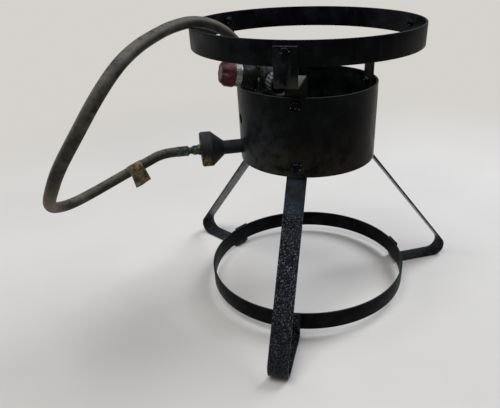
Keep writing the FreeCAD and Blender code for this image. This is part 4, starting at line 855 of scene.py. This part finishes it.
def make_fittings():
    """Orifice spud, swivel nut, hose stem and the burner-end ferrule."""
    shank = np.concatenate([[(0.7, 4.6), (0.7, -7.4), (4.4, -7.4)], thread_rows(-7.0, -2.5, 4.97, 1.4, 0.35),
                            [(4.97, -2.0), (4.97, 0.0)]])
    make_piece("orifice_spud_brass", [hexed_fitting(shank, 16.0, 4.6, along_venturi(SPUD_FACE), 1.0)], GREEN_BRASS,
               ["orifice_spud"], sharp=30)
    make_piece("hose_swivel_brass", [hexed_fitting([(3.26, 8.4), (3.26, 0.0)], 14.0, 8.4,
                                                   along_venturi(SWIVEL_FACE), 1.3)],
               GREEN_BRASS, ["hose_swivel_nut"], sharp=30)
    stem = rounded_line([(1.6, 0), (3.2, 0), (3.2, 8.4), (5.4, 8.4), (6.2, 10.0), (4.9, 12.2), (6.1, 13.6),
                         (6.1, 15.0), (3.2, 15.0), (3.2, 33.0), (1.6, 33.0)], 0.35, closed=True, steps=3)
    make_piece("hose_stem_brass", [turned_shape(stem, along_venturi(SWIVEL_FACE), loop=True)], GREEN_BRASS,
               ["hose_stem"])
    make_piece("burner_ferrule_crimped", [crimped_shape(along_venturi(FERRULE_FACE), 3.3)], GREEN_BRASS,
               ["burner_ferrule"])


make_fittings()


# ---------------------------------------------------------------- regulator

REGULATOR_MIDDLE = (-57.0, -31.0, 385.65)
REGULATOR_HEADING = 201.0
REGULATOR_TILT = 11.5
KNOB_FACE = 58.25
KNOB_FLUTES = 7
NUT_FACE = 26.4
NUT_RIBS = 18
ELBOW_REACH = 34.0
ELBOW_ARM = 18.0
ELBOW_LEAN = 40.0


def regulator_place():
    """The regulator's own frame: Z towards its knob, Y towards the tank inlet."""
    heading, tilt = math.radians(REGULATOR_HEADING), math.radians(REGULATOR_TILT)
    z = np.array([math.cos(tilt) * math.cos(heading), math.cos(tilt) * math.sin(heading), math.sin(tilt)])
    y = np.array([-math.sin(heading), math.cos(heading), 0.0])
    return frame_of(np.cross(y, z), y, z, REGULATOR_MIDDLE)


REGULATOR = regulator_place()


def make_knob():
    """Adjusting knob: a domed turning whose seven flutes deepen past its skirt and fade on its crown."""
    dome = rounded_line([(4.0, 0), (17.9, 0), (18.9, 1.6), (18.7, 14.5), (13.5, 20.9), (9.0, 20.4), (0.0, 20.2)],
                        [0, 0.8, 1.5, 5.5, 2.5, 1.0, 0], steps=8)
    rows = np.concatenate([dome, [(0.0, 14.0), (4.0, 14.0)]])
    lobed = np.clip((rows[:, 1] - 3.0) / 2.5, 0, 1) * np.clip((rows[:, 0] - 8.0) / 7.0, 0, 1)
    angles = around(168)
    groove = np.clip(np.cos(KNOB_FLUTES * angles) + 0.1, 0, 1) ** 1.2
    radius = rows[:, :1] - 2.9 * lobed[:, None] * groove
    make_piece("adjusting_knob_moulding", [turned_shape(rows, shifted(REGULATOR, z=KNOB_FACE), 168, radius, loop=True)],
               KNOB_ABS, ["adjusting_knob"], body="knob", sharp=50)


def make_coupling_nut():
    """Ribbed coupling nut: round-backed ribs, one minus a root of a sine, on a skirt hollow for the tank valve."""
    outer = rounded_line([(6.06, 0), (15.8, 0), (17.4, 2.2), (17.4, 22.6), (16.8, 24.0), (13.6, 24.0)],
                         [0, 1.2, 1.5, 1.0, 0.5, 0], steps=5)
    rows = np.concatenate([outer, [(13.6, 23.0), (13.6, 4.0), (6.06, 4.0)]])
    ribbed = np.clip((rows[:, 0] - 15.0) / 1.5, 0, 1) * np.clip((rows[:, 1] - 1.5) / 2.0, 0, 1)
    angles = around(216)
    groove = 1 - np.abs(np.sin(NUT_RIBS / 2 * angles)) ** 0.6
    radius = rows[:, :1] - 1.5 * ribbed[:, None] * groove
    place = shifted(facing(REGULATOR, (0, 1, 0)), z=NUT_FACE)
    make_piece("coupling_nut_moulding", [turned_shape(rows, place, 216, radius, loop=True)], NUT_NYLON,
               ["coupling_nut"], body="coupling")


def make_spring():
    """Coil spring: a circle of wire carried along a helix between the diaphragm plate and its button."""
    bottom, top, radius, wire, turns = 20.1, 31.4, 7.6, 0.9, 4.5
    t = np.linspace(0, 1, 220)
    angles = TURN * turns * t
    out = np.stack([np.cos(angles), np.sin(angles), 0 * angles], -1)
    centre = radius * out + np.outer(bottom + wire + (top - bottom - 2 * wire) * t, UP)
    bend = around(12)[None, :, None]
    ring = (out[:, None, :] * np.cos(bend) + UP * np.sin(bend)) * wire
    make_piece("regulator_spring_coil", [grid_shape(moved(centre[:, None, :] + ring, REGULATOR))],
               SPRING_WIRE, ["regulator_spring"])


def make_regulator():
    """Regulator's castings, collar, screws and fittings."""
    for node_name, material, slot_name, edge in (
            ("regulator_body", REGULATOR_CASTING, "regulator_zinc", 0.8),
            ("regulator_bonnet", REGULATOR_CASTING, "regulator_zinc", 0.8),
            ("outlet_elbow", BRASS, "brass", 0.5),
            ("inlet_nipple", BRASS, "brass", 0.4),
            ("regulator_collar", ZINC, "zinc", 0.5),
            ("flange_screws", ZINC, "zinc", 0.4)):
        softened_copy(node_name, material, edge)
    make_knob()
    make_coupling_nut()
    make_spring()
    lean = math.radians(ELBOW_LEAN)
    elbow_corner = facing(shifted(REGULATOR, y=-ELBOW_REACH), (-math.sin(lean), 0.0, math.cos(lean)))
    make_piece("regulator_ferrule_crimped", [crimped_shape(shifted(elbow_corner, z=ELBOW_ARM), 1.8)], CRIMPED_ALUMINIUM,
               ["regulator_ferrule"])
    for node_name, material in (("diaphragm", SEAL_RUBBER), ("inlet_nose", SEAL_RUBBER), ("diaphragm_plate", ZINC),
                                ("spring_button", ZINC), ("adjusting_screw", SPRING_WIRE), ("cap_screw", ZINC),
                                ("mount_bolt", ZINC)):
        dress_node(node_name, material)


make_regulator()


# ---------------------------------------------------------------- tag

TAG_HALF = 12.0
PAPER = 0.45


def make_tag():
    """Paper tag folded over the hose: an arc round it runs into two leaves that fall, part and curl.

    Across the hose the line is a circle's arc with a straight leaf at each end, bowed by a sine; along the
    hose each leaf's curl is a sine that grows with the distance below the hose, where the leaf also fans out.
    """
    near, far = np.array(HOSE_ROUTE[2]) / MM, np.array(HOSE_ROUTE[3]) / MM
    forward = unit(far - near)
    side = unit(np.cross(UP, forward))
    up = np.cross(forward, side)
    wrap_angles = np.radians(np.linspace(-62, 242, 41))
    wrap = (HOSE_RADIUS + 0.7) * np.stack([np.cos(wrap_angles), np.sin(wrap_angles)], -1)
    drop = np.linspace(0, 1, 16)[1:, None]
    right = wrap[0] + drop * (-3.4, -20.5) + np.sin(drop * 3.0) * (0.9, 0.0)
    left = wrap[-1] + drop * (3.2, -21.8) + np.sin(drop * 3.3) * (-1.2, 0.0)
    line = np.concatenate([right[::-1], wrap, left])
    along = np.linspace(-TAG_HALF, TAG_HALF, 23)
    fall = np.clip(-line[:, 1:2] - 6.0, 0, 30) / 24.0
    curl = 2.0 * fall * np.sin(along / TAG_HALF * 2.2 + 0.6)
    reach = along * (1 + 0.15 * fall) + 3.2 * fall
    points = ((near + far) / 2 + reach[..., None] * forward + (line[:, :1] + curl)[..., None] * side
              + line[:, 1:2, None] * up)
    mesh = bpy.data.meshes.new("hose_tag_paper")
    mesh.from_pydata((points.reshape(-1, 3) * MM).tolist(), [], grid_quads(*points.shape[:2], False, False).tolist())
    tag = place_mesh("hose_tag_paper", mesh, 60)
    wall = tag.modifiers.new("paper", "SOLIDIFY")
    wall.thickness = PAPER * MM
    wall.offset = 0.0
    dress(tag, tag_paper(), "stand", ["hose_tag"])


make_tag()


# ---------------------------------------------------------------- stage

BACKDROP = "#d5d2cd"


def matt_floor():
    """Matt painted board: even pale grey; seen far off it gives the backdrop's own tone."""
    material, add, place = fresh_tree("matt_painted_board")
    cloud = add("TexNoise", {"Vector": place, "Scale": grain(300), "Detail": 3.0})
    colour = add("ValToRGB", {0: cloud}, stops=[(0.3, "#d2cec8"), (0.7, "#d7d4ce")])
    paint = add("BsdfPrincipled", {"Base Color": colour, "Roughness": 0.85, "Specular IOR Level": 0.15})
    far = add("VectorMath", {0: place}, "Value", operation="LENGTH")
    far = add("MapRange", {0: far, 1: 0.55, 2: 1.5}, interpolation_type="SMOOTHSTEP")
    seen = add("Math", {0: add("LightPath", out="Is Camera Ray"),
                        1: add("LightPath", out="Is Glossy Ray")}, operation="MAXIMUM")
    seen = add("Math", {0: seen, 1: add("LightPath", out="Is Transmission Ray")}, operation="MAXIMUM")
    amount = add("Math", {0: far, 1: seen}, operation="MULTIPLY")
    glow = add("Emission", {"Color": linear(BACKDROP), "Strength": 1.0})
    mixed = add("MixShader", {0: amount, 1: paint, 2: glow})
    add("OutputMaterial", {"Surface": mixed})
    return material


def make_stage():
    """Plain pale floor."""
    mesh = bpy.data.meshes.new("floor")
    reach = 14.0
    mesh.from_pydata([(-reach, -reach, 0), (reach, -reach, 0), (reach, reach, 0), (-reach, reach, 0)], [],
                     [(0, 1, 2, 3)])
    floor = new_object("floor", mesh)
    mesh.materials.append(matt_floor())


def make_lamp(name, place, towards, size, power, colour):
    """Square soft lamp that looks at a point."""
    data = bpy.data.lights.new(name, "AREA")
    data.shape = "SQUARE"
    data.size = size
    data.energy = power
    data.color = linear(colour)[:3]
    lamp = new_object(name, data)
    z = unit(np.subtract(place, towards).astype(float))
    x = unit(np.cross(UP, z))
    lamp.matrix_world = Matrix(frame_of(x, np.cross(z, x), z, place).tolist())


def make_light():
    """Soft window light from behind on the right, weaker ones from above and the left, and a dim even world."""
    make_lamp("window_lamp", (1.3, 1.0, 2.0), (0, 0, 0.25), 1.2, 44.0, "#f2f6ff")
    make_lamp("ceiling_lamp", (-0.5, -0.5, 2.3), (0, 0, 0.3), 1.3, 26.0, "#ffffff")
    make_lamp("left_lamp", (-2.0, 0.5, 0.9), (0, 0, 0.3), 1.2, 12.0, "#f6f8ff")
    world = bpy.data.worlds.new("studio")
    bpy.context.scene.world = world
    add = emptied(world)
    shown = add("Background", {"Color": linear(BACKDROP), "Strength": 1.0})
    lights = add("Background", {"Color": linear("#dfe4ee"), "Strength": 0.25})
    seen = add("Math", {0: add("LightPath", out="Is Camera Ray"),
                        1: add("LightPath", out="Is Transmission Ray")}, operation="MAXIMUM")
    mixed = add("MixShader", {0: seen, 1: lights, 2: shown})
    add("OutputWorld", {"Surface": mixed})
    bpy.context.scene.view_settings.view_transform = "Standard"


make_stage()
make_light()
